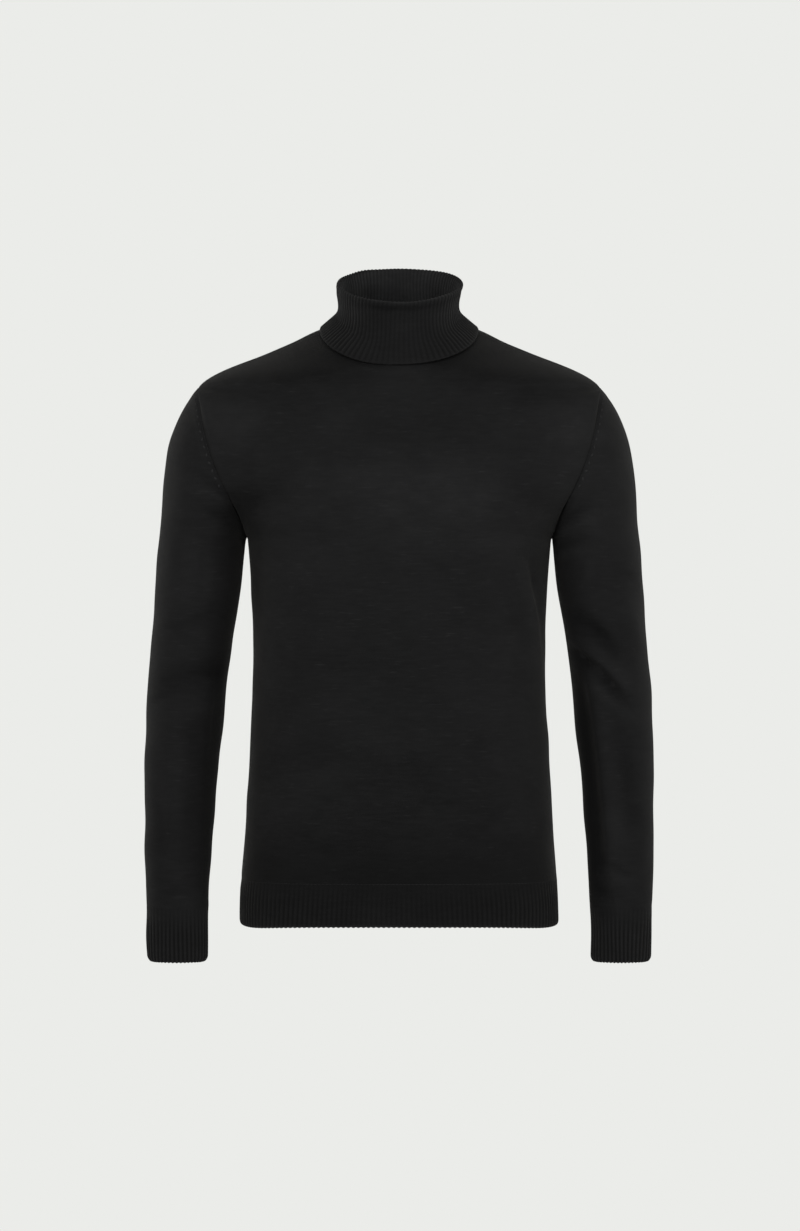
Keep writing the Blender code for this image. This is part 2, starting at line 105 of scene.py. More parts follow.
knitLook = {
    "dark": (0.0020, 0.0020, 0.0021, 1.0),
    "light": (0.0074, 0.0074, 0.0076, 1.0),
    "paintedShadeColour": (0.0006, 0.0006, 0.0006, 1.0),
    "valley": 0.60,  # how far the colour goes towards the painted shade colour where painted shade lies, at the bottom of a rib or a seam and in other shaded places
    "base": 0.18,    # tone of plain cloth between dark and light, before what follows adds to it
    "patches": 0.22, "streaks": 0.22, "flecks": 0.20, "slubs": 0.70,
    "worn": (0.36, 0.48),  # what painted light, painted shade and wear add to the tone, evenly and where it is mottled
    "roughness": (0.80, 0.98), "specular": 0.05,
    "sheen": 0.020, "sheenRoughness": 0.45, "sheenTint": (1.0, 0.97, 0.92, 1.0),
}
ribLook = {**knitLook, "valley": 0.72, "slubs": 0.10}
threadLook = {**knitLook, "dark": (0.0036, 0.0036, 0.0038, 1.0), "light": (0.0112, 0.0112, 0.0115, 1.0)}
markLook = {**threadLook, "base": 0.60}


def stitchHeight(cloth):
    # Plain knit from the cloth's coordinates in metres: a wale is a column of V shapes, whose two legs
    # are arches across it and whose loops are a sine down it that leans up to the wale's sides.
    wales = cloth.axis("X") / stitch["wale"]
    courses = cloth.axis("Y") / stitch["course"]
    side = (wales.math("FRACT") - 0.5).math("ABSOLUTE") * 2.0
    leg = (side * math.pi).math("SINE").math("ABSOLUTE") ** stitch["legPower"]
    loop = ((courses + side * stitch["lean"]) * (2.0 * math.pi)).math("SINE")
    return leg * (loop * stitch["loop"] + (1.0 - stitch["loop"]))


def knitMaterial(name, look):
    # Matt dark wool: mottled, with faint streaks and pale slubs along the courses, lighter or darker by an
    # attribute of painted light, painted shade and wear, and darker still by one of painted shade. Its fuzz
    # is a sheen, and its stitches are a fine bump.
    material = bpy.data.materials.new(name)
    material.use_nodes = True
    tree = material.node_tree
    tree.nodes.clear()
    start = Signal(tree)
    cloth = start.make("ShaderNodeUVMap", {"uv_map": "cloth"}, {})
    place = start.make("ShaderNodeTexCoord", {}, {}, out="Object")
    paintedShade = start.make("ShaderNodeAttribute", {"attribute_name": "paintedShade"}, {}, out="Fac")
    paintedLightAndWearLevels = start.make("ShaderNodeAttribute", {"attribute_name": "worn"}, {}, out="Fac")
    noise = {kind: place.stretched(level, level, upright).noise(*grain).between(low, high)
             for kind, (level, upright, *grain, low, high) in mottles.items()}
    least, mottled = look["worn"]
    tone = paintedLightAndWearLevels * (noise["mottle"] * mottled + least) + noise["slubs"] * noise["mottle"] * look["slubs"]
    for kind in ("patches", "streaks", "flecks"):
        tone = tone + noise[kind] * look[kind]
    tone = (tone + look["base"]).math("MAXIMUM", 0.0)
    colour = (paintedShade * look["valley"]).blend(tone.blend(look["dark"], look["light"]), look["paintedShadeColour"])
    smooth, rough = look["roughness"]
    height = stitchHeight(cloth) * stitch["depth"] + noise["flecks"] * stitch["fuzz"]
    bump = start.make("ShaderNodeBump", {}, {"Strength": stitch["bump"], "Distance": 1.0, "Height": height})
    shader = start.make("ShaderNodeBsdfPrincipled", {}, {
        "Base Color": colour, "Normal": bump,
        "Roughness": noise["flecks"] * (rough - smooth) + smooth,
        "Specular IOR Level": look["specular"], "Sheen Weight": look["sheen"],
        "Sheen Roughness": look["sheenRoughness"], "Sheen Tint": look["sheenTint"],
    })
    tree.links.new(shader.socket, tree.nodes.new("ShaderNodeOutputMaterial").inputs[0])
    return material


# lengths in the rows of the three tables of forms are in millimetres

body = {
    "columns": ("sideX", "sideZ", "front", "frontZ", "back", "backZ", "power"),
    "rows": (
        (77, 6.5, 75, -28, 60, 27.5, 2.00),  # neck seam
        (102.9, 0.8, 80, -34, 68, 20, 2.00),
        (128.2, -11.5, 84.8, -40, 77, 9, 2.00),
        (174.2, -29.9, 90, -48.5, 88, -11, 2.05),
        (215.6, -48.3, 95.5, -59, 97, -36, 2.10),
        (231, -61, 100.5, -72, 103, -61, 2.20),  # shoulder point
        (229.7, -72.5, 105.5, -96, 107.5, -88, 2.25),
        (224.5, -103.8, 110, -122, 110.8, -117, 2.30),
        (212.8, -146.7, 114.1, -149, 113, -146, 2.35),
        (193.7, -189.5, 117.7, -177, 114.2, -175, 2.40),
        (179, -220.9, 120.6, -205, 114.5, -204, 2.45),
        (174.8, -232.3, 122.5, -233, 114, -233, 2.50),  # underarm
        (170.1, -289, 122.5, -289, 110.2, -289, 2.50),
        (167.8, -346, 119.3, -346, 104.5, -346, 2.50),
        (168.1, -403, 115.2, -403, 100, -403, 2.50),
        (170.5, -460, 112.2, -460, 99, -460, 2.55),
        (173.9, -517, 112, -517, 102.5, -517, 2.65),
        (177.2, -574, 113.5, -574, 108, -574, 2.75),
        (181.3, -630, 116, -630, 113, -630, 2.90),  # top of the hem's rib
        (182.3, -672.5, 117, -672.5, 115, -672.5, 3.00),  # hem's edge
    ),
    "shoulderRow": 5, "underarmRow": 11, "hemRow": 17.90, "edgeRow": 19,
    "armhole": {"front": 0.060, "back": 0.064},  # how far its seam swings forward and back
    "armholeEase": 1.3, "shoulderEase": 0.3, "easeRows": 0.8, "finePoints": 1500,
    "cornerDrop": 0.002, "cornerPeak": 2.1,  # the hem hangs lower near its corners
}

sleeve = {
    "columns": ("outerX", "outerZ", "innerX", "innerZ", "middleY", "front", "back"),
    "rows": (
        (231, -61, 174.8, -232.3, 0, 60, 64),  # armhole
        (247.8, -85.1, 175.2, -234, 1, 60.2, 63.6),
        (260.5, -112.7, 175.7, -236, 2, 60, 62.5),
        (267.4, -140.3, 176.2, -238.5, 3, 59.5, 61.2),
        (271.4, -177.1, 176.7, -242, 4, 58.5, 59.5),
        (274.3, -213.9, 177.3, -247.5, 5, 57.2, 57.5),
        (277.9, -248, 178.6, -260, 6, 55.8, 55.3),
        (281.2, -296, 183.1, -296, 8, 52.5, 52),  # level from here on
        (285.3, -348, 192, -348, 10, 49.5, 49),
        (289.5, -400, 198.2, -400, 10, 46.5, 47),  # elbow
        (291.7, -452, 203, -452, 6, 44.5, 44.5),
        (292.5, -504, 208.6, -504, -2, 41, 41),
        (292.2, -556, 213, -556, -11, 37, 37),
        (291.2, -608, 216.1, -608, -20, 32, 32),
        (288.8, -655.5, 218.1, -655.5, -28, 27.5, 27.5),  # top of the cuff's rib
        (287, -720.5, 218.6, -720.5, -38, 25, 25),  # cuff's edge
    ),
    "levelRow": 7, "cuffRow": 14, "edgeRow": 15,
}

collar = {
    "columns": ("sideX", "sideZ", "front", "frontZ", "back", "backZ", "power"),
    "rows": (
        (74.4, 4.6, 71.5, -30.5, 56.2, 25.8, 2.00),  # neck seam, inside
        (65, 24, 62.5, -6, 52.8, 45, 2.00),
        (63.8, 42, 60.5, 15, 52, 64, 2.00),
        (66.8, 55.2, 62.5, 28.4, 54.2, 76.3, 2.00),
        (70, 59.2, 65.7, 32.6, 57.6, 80.2, 2.00),  # top of the fold
        (73, 55.6, 69, 29.1, 60.8, 76.3, 2.00),
        (69.8, 40, 67, 10.1, 59.5, 60.6, 2.02),
        (70.6, 25, 70, -10.4, 61.8, 44.2, 2.10),
        (78.4, 16.5, 76.8, -22.8, 68, 30.5, 2.25),
        (90.5, 6.8, 87, -37.2, 76.5, 18.8, 2.40),  # edge on the shoulders
    ),
}

faces = {"front": -1, "back": +1}  # which way along Y each half looks


def splineWeights(count, at):
    # weights of a table's rows at the row numbers `at`, along a natural cubic spline
    rows = np.arange(1, count - 1)
    unit = np.eye(count)
    system, turns = np.eye(count), np.zeros((count, count))
    for shift, weight, turn in ((-1, 1.0, 6.0), (0, 4.0, -12.0), (1, 1.0, 6.0)):
        system[rows, rows + shift] = weight
        turns[rows, rows + shift] = turn
    bends = np.linalg.solve(system, turns)
    low = np.clip(np.floor(at).astype(int), 0, count - 2)
    right = (at - low)[:, None]
    left = 1.0 - right
    flat = left * unit[low] + right * unit[low + 1]
    return flat + ((left**3 - left) * bends[low] + (right**3 - right) * bends[low + 1]) / 6.0


def readTable(table, at):
    # each column of a table as a smooth curve, read at the row numbers `at`, its lengths in metres
    values = splineWeights(len(table["rows"]), np.asarray(at, float)) @ np.array(table["rows"])
    return {name: values[:, [place]] / (1.0 if name == "power" else 1000.0)
            for place, name in enumerate(table["columns"])}


def unitVectors(vectors):
    return vectors / np.maximum(np.linalg.norm(vectors, axis=-1, keepdims=True), 1e-12)


def flipX(vectors):
    return vectors * np.array((-1.0, 1.0, 1.0))


def smoothStep(values):
    # 0 to 1 with level ends: 3t^2 - 2t^3
    t = np.clip(values, 0.0, 1.0)
    return t * t * (3.0 - 2.0 * t)


def bell(values, middle, width):
    # a bell curve: exp(-((value - middle) / width)^2)
    return np.exp(-(((values - middle) / width) ** 2))


def upward(normals):
    # how much cloth faces up, from 0 to 1
    return np.clip(normals[..., 2], 0.0, 1.0)


def circle(count):
    return np.linspace(0.0, 2.0 * math.pi, count, endpoint=False)


def lengthAlong(grid, axis):
    # length along the grid's lines from their first point, in metres
    steps = np.linalg.norm(np.diff(grid, axis=axis), axis=2)
    return np.insert(np.cumsum(steps, axis=axis), 0, 0.0, axis=axis)


def readAlong(wanted, along, vectors):
    # vectors that a path has at the lengths `along`, read at the lengths `wanted`
    return np.stack([np.interp(wanted, along, vectors[:, axis]) for axis in range(3)], axis=-1)


def spreadEvenly(sections, count):
    # each section's points moved along it to `count` places an equal way apart, in one interpolation
    # that keeps the sections apart by adding twice a section's number to its lengths
    along = lengthAlong(sections, 1)
    apart = 2.0 * np.arange(len(sections))[:, None]
    known = (along / along[:, -1:] + apart).ravel()
    wanted = (np.linspace(0.0, 1.0, count)[None, :] + apart).ravel()
    return readAlong(wanted, known, sections.reshape(-1, 3)).reshape(len(sections), count, 3)


def bodyHalf(at, count, side):
    # Front or back at rows `at`. A section is a squared ellipse between the side seams, x = sin and
    # y = (1 - x^power)^(ease / power); between shoulder point and underarm it starts at the armhole,
    # which opens and closes as a sine.
    at = np.asarray(at, float)
    row = readTable(body, at)
    ends = body["shoulderRow"], body["underarmRow"]
    topZ, lowZ = readTable(body, ends)["sideZ"][:, 0]
    turn = np.clip((at - ends[0]) / (ends[1] - ends[0]), 0, 1)[:, None]
    openness = np.sin(math.pi * turn)
    armhole = openness * body["armhole"][side]
    seamZ = topZ + (lowZ - topZ) * (1.0 - np.cos(math.pi * turn)) / 2.0
    sideZ = np.where((turn > 0.0) & (turn < 1.0), seamZ, row["sideZ"])
    across = np.sin(math.pi / 2.0 * np.linspace(1.0, -1.0, body["finePoints"] + 1))[None] * faces[side]
    atShoulder = bell(at[:, None], body["shoulderRow"], body["easeRows"])
    ease = 1.0 + body["armholeEase"] * openness**2 + body["shoulderEase"] * atShoulder
    swell = np.clip(1.0 - np.abs(across) ** row["power"], 0.0, 1.0) ** (ease / row["power"])
    nearCorner = body["cornerPeak"] * np.abs(across) ** 4 * (1.0 - np.abs(across) ** 12)
    drop = body["cornerDrop"] * nearCorner * np.clip(at - body["hemRow"], 0.0, 1.0)[:, None]
    return spreadEvenly(np.stack((
        row["sideX"] * across,
        faces[side] * (armhole + (row[side] - armhole) * swell),
        sideZ + (row[side + "Z"] - sideZ) * swell - drop,
    ), axis=-1), count)


def sleeveTube(at, angles):
    # Sleeve at the wearer's left at rows `at`; angles run from beside the body (0) over the front to
    # the outside (pi). A section is an ellipse in a plane that swings from the armhole's to a level
    # one; near the armhole its points shift out to the body's own edge.
    at = np.asarray(at, float)
    row = readTable(sleeve, at)
    outward = -np.cos(angles)[None, :]
    forward = np.sin(angles)[None, :]
    middleX, halfX = (row["outerX"] + row["innerX"]) / 2.0, (row["outerX"] - row["innerX"]) / 2.0
    middleZ, halfZ = (row["outerZ"] + row["innerZ"]) / 2.0, (row["outerZ"] - row["innerZ"]) / 2.0
    fromTop = np.abs(math.pi - angles) / math.pi
    seamRows = body["shoulderRow"] + (body["underarmRow"] - body["shoulderRow"]) * fromTop
    shift = readTable(body, seamRows)["sideX"][:, 0] - (middleX[0] + outward[0] * halfX[0])
    fade = np.clip(1.0 - at / sleeve["levelRow"], 0.0, 1.0)[:, None] ** 2
    return np.stack((
        middleX + outward * halfX + fade * shift,
        row["middleY"] - np.where(forward > 0.0, row["front"], row["back"]) * forward,
        middleZ + outward * halfZ + np.zeros_like(forward),
    ), axis=-1)


def collarRings(at, count):
    # The collar's face at rows `at`, up the inside and down the outside. A ring is an ellipse behind
    # and a squared one in front, x = cos^(2/power) and y = sin^(2/power); its height is a quadratic
    # in Y through its heights at the front, the sides and the back.
    row = readTable(collar, at)
    frontSlope = (row["frontZ"] - row["sideZ"]) / -row["front"]
    backSlope = (row["backZ"] - row["sideZ"]) / row["back"]
    bend = (backSlope - frontSlope) / (row["back"] + row["front"])
    slope = backSlope - bend * row["back"]
    angles = np.linspace(0.0, math.pi, body["finePoints"] + 1)[None, :]
    across = np.cos(angles)
    halves = []
    for side, power in (("front", row["power"]), ("back", 2.0)):
        x = row["sideX"] * np.sign(across) * np.abs(across) ** (2.0 / power) * faces[side]
        y = faces[side] * row[side] * np.abs(np.sin(angles)) ** (2.0 / power)
        ring = np.stack((x, y, row["sideZ"] + slope * y + bend * y**2), -1)
        halves.append(spreadEvenly(ring, count // 2 + 1)[:, :-1])
    return np.concatenate(halves, axis=1)


def outwardNormals(grid, around):
    # unit normals of a grid whose rows run down and whose columns run round, out of the cloth's face
    if around:
        across = np.roll(grid, -1, axis=1) - np.roll(grid, 1, axis=1)
    else:
        across = np.gradient(grid, axis=1)
    return unitVectors(np.cross(np.gradient(grid, axis=0), across))


def mirrored(grid):
    # the same cloth at the other side of the body, with its columns still running the same way round
    return np.roll(flipX(grid[:, ::-1]), 1, axis=1)


folds = {
    # millimetres: a fold's two ends in the front view (X, Z), how far it bows sideways, its height,
    # its width and, where it isn't the same, its width on the -X side
    "front": (
        # sleeve at the wearer's left
        (204, -322, 244, -362, 3, -4, 7, 10), (198, -352, 259, -408, 4, 3.8, 12, 5),
        (203, -366, 257, -418, 3, -4, 5.5, 9), (212, -396, 262, -436, -3, 2.2, 9),
        (217, -388, 243, -640, 3, 3.6, 17, 5.5), (205, -400, 229, -640, 3, -4.2, 9, 12),
        (256, -300, 274, -352, 2, 1.6, 10), (246, -430, 262, -560, 3, -1.4, 11),
        (237, -275, 274, -283, 2, -1.4, 6), (240, -608, 262, -620, 1, -1.8, 4),
        (232, -400, 264, -428, -2, -1.6, 5), (214, -262, 204, -306, 2, 1.1, 8),
        (236, -232, 226, -290, -3, -1, 9), (259, -470, 270, -585, -3, -1.2, 9),
        (232, -615, 262, -628, 1, 1.2, 6), (228, -635, 256, -645, 1, -1.1, 6),
        (184, -222, 212, -200, 2, -2.4, 5), (186, -232, 217, -215, 2, 2, 5),
        (187, -244, 212, -234, -1, -2, 5), (189, -256, 208, -250, 1, 1.4, 5),
        # sleeve at the wearer's right
        (-205, -380, -214, -600, 1, -3, 10), (-206, -356, -270, -370, 0, 1.4, 15),
        (-200, -386, -258, -397, -2, -3, 12), (-258, -430, -256, -600, 3, 1.8, 16),
        (-232, -440, -236, -600, 0, -1.2, 13), (-215, -322, -262, -336, 2, -1.3, 7),
        (-252, -412, -284, -424, -2, -1.4, 6), (-210, -424, -248, -436, 3, 1.3, 7),
        (-214, -252, -222, -306, 3, 1.1, 9), (-250, -240, -246, -300, -2, -1, 8),
        (-275, -520, -268, -620, 2, -1.2, 8), (-228, -610, -258, -622, -2, 1.2, 6),
        (-232, -634, -266, -640, 1, -1.2, 6), (-182, -190, -222, -166, 2, -2.4, 5),
        (-186, -199, -232, -179, -2, 2, 5), (-188, -214, -224, -200, 1, -1.8, 5),
        (-190, -232, -216, -224, -1, 1.4, 6),
        # body
        (142, -266, 162.5, -388, 2, 3, 4.5, 12), (150, -268, 170, -388, 2, -2.2, 8, 4),
        (122, -285, 138, -390, 4, -1.4, 12), (-146, -275, -152, -420, -2, 2.4, 13),
        (176, -196, 126, -170, 3, -3, 16), (-176, -196, -128, -168, -3, -3, 16),
        (168, -222, 120, -222, 2, -1.6, 9), (-170, -226, -126, -232, 2, -1.4, 9),
        (152, -238, 142, -320, 3, -1.6, 10), (-160, -250, -146, -330, -3, -1.2, 10),
        (-28, -60, 36, -58, -4, 1.2, 9), (-96, -46, -60, -78, -4, -1, 9), (98, -48, 64, -80, 4, -1, 9),
        (20, -222, 112, -226, 3, -0.9, 12), (-118, -224, -14, -220, -3, -0.9, 12),
        (-40, -470, -120, -520, 6, 1, 18), (30, -420, 130, -480, -6, -1, 18),
        (10, -575, 130, -600, 4, 1.2, 14), (-150, -560, -30, -606, 4, -1.1, 14),
    ),
    "back": (
        # sleeve at the wearer's left
        (270, -330, 205, -372, 4, -3.2, 14), (275, -370, 210, -412, -3, 3, 14),
        (268, -430, 250, -600, 4, 2.5, 14), (262, -240, 215, -280, 3, -1.2, 10),
        (278, -455, 222, -470, 2, -1.8, 9), (240, -500, 236, -620, -2, -1.4, 9),
        # sleeve at the wearer's right
        (-272, -340, -204, -378, 4, -3, 14), (-276, -375, -210, -415, -4, 2.8, 14),
        (-262, -250, -212, -286, 2, -1.2, 10), (-278, -450, -224, -476, 2, -1.6, 9),
        (-246, -505, -240, -610, 2, -1.3, 9),
        # body
        (160, -330, 50, -372, 6, -3.8, 17), (-160, -345, -60, -330, 4, -3.6, 16),
        (150, -410, 30, -425, -4, 3.4, 16), (-155, -395, -40, -405, 4, 3.4, 16),
        (180, -190, 130, -150, 3, -3, 16), (-180, -190, -130, -150, -3, -3, 16),
        (70, -350, -30, -362, 4, 2.1, 13), (120, -455, 10, -470, 6, -2.4, 14),
        (-110, -440, -20, -456, -4, -2.1, 13), (150, -500, 60, -545, 5, 1.8, 14),
        (-156, -520, -80, -560, -5, -1.8, 14), (165, -225, 115, -215, 3, 1.4, 10),
        (-165, -228, -118, -220, -3, 1.2, 10), (40, -40, -30, -44, 4, -1.2, 12),
    ),
    "gain": 1.6, "taper": 0.5,  # how soon a fold is whole on cloth that turns to it, loss at its ends
}


def foldHeight(points, normals):
    # sum over the folds of height x exp(-(distance / width)^2), for cloth that faces the fold's side
    height = np.zeros(points.shape[:-1])
    place = points[..., [0, 2]]
    for side, face in faces.items():
        facing = np.clip(normals[..., 1] * face * folds["gain"], 0.0, 1.0)
        for fold in folds[side]:
            *ends, bow, tall, wide, otherWide = np.array((*fold, fold[6])[:8]) / 1000.0
            top, low = np.array(ends[:2]), np.array(ends[2:])
            line = low - top
            sideways = np.array((-line[1], line[0])) / np.linalg.norm(line)
            along = np.clip((place - top) @ line / (line @ line), 0.0, 1.0)[..., None]
            offset = place - top - along * line - sideways * bow * 4.0 * along * (1.0 - along)
            width = np.where(offset @ sideways < 0.0, otherWide, wide)
            taper = 1.0 - folds["taper"] * (2.0 * along[..., 0] - 1.0) ** 2
            height += tall * taper * bell(np.linalg.norm(offset, axis=-1), 0.0, width) * facing
    return height


drape = {
    # long uneven waves all over the cloth: turns for each metre along X, Y and Z, phase, height
    "waves": (
        (7.0, 3.0, 4.0, 0.3, 0.00030), (-5.0, 6.0, 9.0, 1.9, 0.00028), (3.0, -8.0, 13.0, 4.1, 0.00022),
        (11.0, 5.0, -6.0, 2.6, 0.00020), (-9.0, 12.0, 17.0, 5.2, 0.00014),
        (16.0, -7.0, 21.0, 0.9, 0.00010),
    ),
    "seamReach": 0.009, "levelCalm": 0.80,  # folds fade this near a seam, waves this much on level cloth
    # places on the shoulders that sink a little: how far out, how wide and how deep
    "sinks": ((0.106, 0.032, 0.0020), (0.158, 0.026, 0.0016)),
}


def waveHeight(points):
    # sum of sines of the place in space, so that neighbouring pieces share one uneven form
    return sum(height * np.sin(2.0 * math.pi * (points @ np.array(turns)) + phase)
               for *turns, phase, height in drape["waves"])


def sinkDepth(points, normals):
    # bell curves of the way out to the side, on cloth that faces up
    out = np.abs(points[..., 0])
    return sum(depth * bell(out, place, width) for place, width, depth in drape["sinks"]) * upward(normals)


def draped(grid, normals, fromEdge):
    # the grid with its folds and waves, which fade out towards a seam and, the waves, where it is level
    waving = waveHeight(grid) * (1.0 - drape["levelCalm"] * upward(normals))
    height = (foldHeight(grid, normals) + waving) * smoothStep(fromEdge / drape["seamReach"])
    return grid + normals * (height - sinkDepth(grid, normals))[..., None]


armholeForm = {"pinch": 0.00100, "pinchWidth": 0.0030, "puff": 0.00045, "puffAt": 0.0085,
               "puffWidth": 0.0045, "shade": 0.55, "shadeWidth": 0.0026}
armholeForce = {"least": 0.16, "middle": -0.118, "reach": 0.042}
underarm = {"force": 1.5, "shade": 0.95, "z": -0.208, "high": 0.017, "shadeWide": 0.0100,
            "top": -0.2323, "opening": 0.0009, "start": 0.004, "reach": 0.017}
sideForm = {"pinch": 0.00040, "pinchWidth": 0.0020, "puff": 0.00022, "puffAt": 0.0060,
            "puffWidth": 0.0036, "shade": 0.50, "shadeWidth": 0.0014}
tuck = {"depth": 0.0022, "above": 0.022, "below": 0.014}  # front and back pull in where the rib starts


def seamHeight(distance, form):
    # cloth beside a seam: pinched in at it and puffed up a little way off, both bell curves
    pinch = form["pinch"] * bell(distance, 0.0, form["pinchWidth"])
    return form["puff"] * bell(distance, form["puffAt"], form["puffWidth"]) - pinch


def seamShade(distance, form):
    # painted shade in the groove at a seam: a bell curve of the distance from it
    return form["shade"] * bell(distance, 0.0, form["shadeWidth"])


def forceAt(z):
    # the armhole's seam bites most half way down and under the arm: two bell curves of the height
    least = armholeForce["least"]
    middle = (1.0 - least) * bell(z, armholeForce["middle"], armholeForce["reach"])
    return least + middle + underarm["force"] * bell(z, underarm["z"], underarm["high"])


def underarmShade(distance, z):
    # painted shade in the crook under the arm: bell curves of the way from the seam and of the height
    beside = bell(distance, 0.0, underarm["shadeWide"])
    return underarm["shade"] * beside * bell(z, underarm["z"], underarm["high"])


def underarmOpening(z, sideways):
    # body and sleeve draw apart below the armhole: a soft step times a bell curve of the way down
    below = np.maximum(underarm["top"] - z, 0.0)
    form = smoothStep(below / underarm["start"]) * bell(below, 0.0, underarm["reach"])
    return underarm["opening"] * form * np.clip(sideways, 0.0, 1.0) ** 2


def tuckDepth(distance, normals, reach):
    # a bell curve of the distance from the rib's top, on cloth that faces the front or the back
    return tuck["depth"] * bell(distance, 0.0, reach) * normals[..., 1] ** 2


def darker(paintedShade, shade):
    # one shade over another: what the first leaves of the light, the second takes its share of
    return paintedShade + shade * (1.0 - paintedShade)


worn = {
    # soft ovals in the front view: in front, painted light where the chest and the upper arms catch it and,
    # below 0, painted shade beside the collar, under the arms, on the sleeves' inner sides and low on the
    # body;
    # behind, rubbed, paler places: in millimetres X, Z, half width and half height, and then the strength
    "front": (
        (30, -186, 120, 42, 0.5), (-190, -102, 38, 44, 0.55), (204, -112, 36, 54, 0.6),
        (8, -44, 46, 12, 0.3), (-236, -282, 30, 50, 0.45), (222, -292, 26, 40, 0.25),
        (-95, -22, 45, 20, -0.8), (95, -22, 45, 20, -0.8), (-150, -38, 45, 20, -0.4),
        (150, -38, 45, 20, -0.3), (0, -240, 150, 110, 0.15), (0, -545, 170, 90, -0.28),
        (-210, -470, 9, 130, -0.3), (228, -668, 12, 30, -0.4), (220, -235, 30, 45, 0.4),
        (-185, -212, 16, 30, -0.9), (-170, -258, 13, 65, -0.8), (171, -275, 10, 45, -0.6),
        (209, -410, 9, 40, -0.6), (216, -470, 10, 45, -0.6), (222, -540, 10, 45, -0.6),
        (226, -605, 10, 40, -0.5), (-135, 0, 40, 26, -0.9), (120, 0, 40, 22, -0.5),
    ),
    "back": (
        (-70, -150, 70, 45, 0.4), (80, -158, 75, 50, 0.45), (-245, -395, 30, 50, 0.45),
        (248, -405, 30, 45, 0.4), (10, -520, 120, 60, 0.25), (-195, -110, 36, 44, 0.35),
        (200, -105, 36, 50, 0.4),
    ),
    # how soon an oval is whole on cloth that turns to it, the share of the folds' height that is a painted
    # highlight on a ridge and painted shade in a trough, and the painted shade on cloth that faces up
    "gain": 1.5, "ridge": 130.0, "up": 0.9,
}


def wornAmount(points, normals):
    # painted light and shade, with wear behind: sum over the ovals of strength x exp(-(x / wide)^2 - (z /
    # high)^2) on cloth that faces their side, a share of the folds' height as a painted highlight on a ridge
    # and painted shade in a trough, and painted shade on cloth that faces up
    amount = foldHeight(points, normals) * worn["ridge"] - upward(normals) ** 2 * worn["up"]
    for side, face in faces.items():
        facing = np.clip(0.5 + normals[..., 1] * face * worn["gain"], 0.0, 1.0)
        for *oval, strength in worn[side]:
            x, z, wide, high = np.array(oval) / 1000.0
            amount += strength * bell(points[..., 0], x, wide) * bell(points[..., 2], z, high) * facing
    return amount


finishes = {
    # each finish's material and the slot that it belongs to
    "knit": (knitMaterial("fineKnit", knitLook), "knit"),
    "rib": (knitMaterial("ribKnit", ribLook), "rib"),
    "thread": (knitMaterial("linkingThread", threadLook), "knit"),
    "mark": (knitMaterial("markStitch", markLook), "knit"),
}


def gridQuads(index):
    # quads of an index grid, seen anticlockwise from the side that the face points to
    corners = (index[:-1, :-1], index[1:, :-1], index[1:, 1:], index[:-1, 1:])
    return np.stack(corners, axis=-1).reshape(-1, 4)


def stripQuads(first, second):
    # quads between two lines of points
    return np.stack((first[:-1], first[1:], second[1:], second[:-1]), axis=-1)


def wrapped(grid):
    # the grid with its first row and its first column once more at the ends, where a tube closes
    grid = np.concatenate((grid, grid[:1]))
    return np.concatenate((grid, grid[:, :1]), axis=1)


def linked(name, data):
    # a new object in the scene
    thing = bpy.data.objects.new(name, data)
    bpy.context.scene.collection.objects.link(thing)
    return thing


def meshPiece(name, points, quads, cloth, clothQuads, paintedShade, paintedLightAndWearLevels, border, finish, nodes=()):
    # one finished piece at the origin: its points, cloth coordinates, how much painted shade and how much
    # painted light, painted shade and wear each point has; an edge between two border points shades as a
    # sharp one
    mesh = bpy.data.meshes.new(name)
    mesh.from_pydata(points.reshape(-1, 3).tolist(), [], quads.tolist())
    layer = mesh.uv_layers.new(name="cloth")
    layer.data.foreach_set("uv", cloth.reshape(-1, 2)[clothQuads.ravel()].astype(np.float32).ravel())
    for kind, values in (("paintedShade", paintedShade), ("worn", paintedLightAndWearLevels)):
        layer = mesh.attributes.new(kind, "FLOAT", "POINT")
        layer.data.foreach_set("value", values.astype(np.float32).ravel())
    material, slotName = finishes[finish]
    mesh.materials.append(material)
    mesh.shade_smooth()
    ends = np.empty(len(mesh.edges) * 2, np.int32)
    mesh.edges.foreach_get("vertices", ends)
    layer = mesh.attributes.new("sharp_edge", "BOOLEAN", "EDGE")
    layer.data.foreach_set("value", border.ravel()[ends.reshape(-1, 2)].all(axis=1))
    mesh.update()
    piece = linked(name, mesh)
    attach(piece, "root")
    if nodes:
        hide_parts(*nodes)
    print(f"{name}: {len(quads) * 2} triangles")


def wallPiece(name, face, inside, cloth, paintedShade, paintedLightAndWearLevels, finish, node):
    # an open panel: its face, its inside with the same rows and columns, and four rims
    outer = np.arange(face[..., 0].size).reshape(face.shape[:2])
    inner = outer + outer.size
    quads = np.concatenate((
        gridQuads(outer), gridQuads(inner)[:, ::-1],
        stripQuads(outer[0], inner[0]), stripQuads(inner[-1], outer[-1]),
        stripQuads(inner[:, 0], outer[:, 0]), stripQuads(outer[:, -1], inner[:, -1]),
    ))
    unseen = np.zeros(outer.shape)
    border = np.ones(outer.shape, bool)
    border[1:-1, 1:-1] = False
    both = [np.concatenate(pair) for pair in ((face, inside), (cloth, cloth), (paintedShade, unseen),
                                              (paintedLightAndWearLevels, unseen), (border, border))]
    meshPiece(name, both[0], quads, both[1], quads, *both[2:], finish, [node])


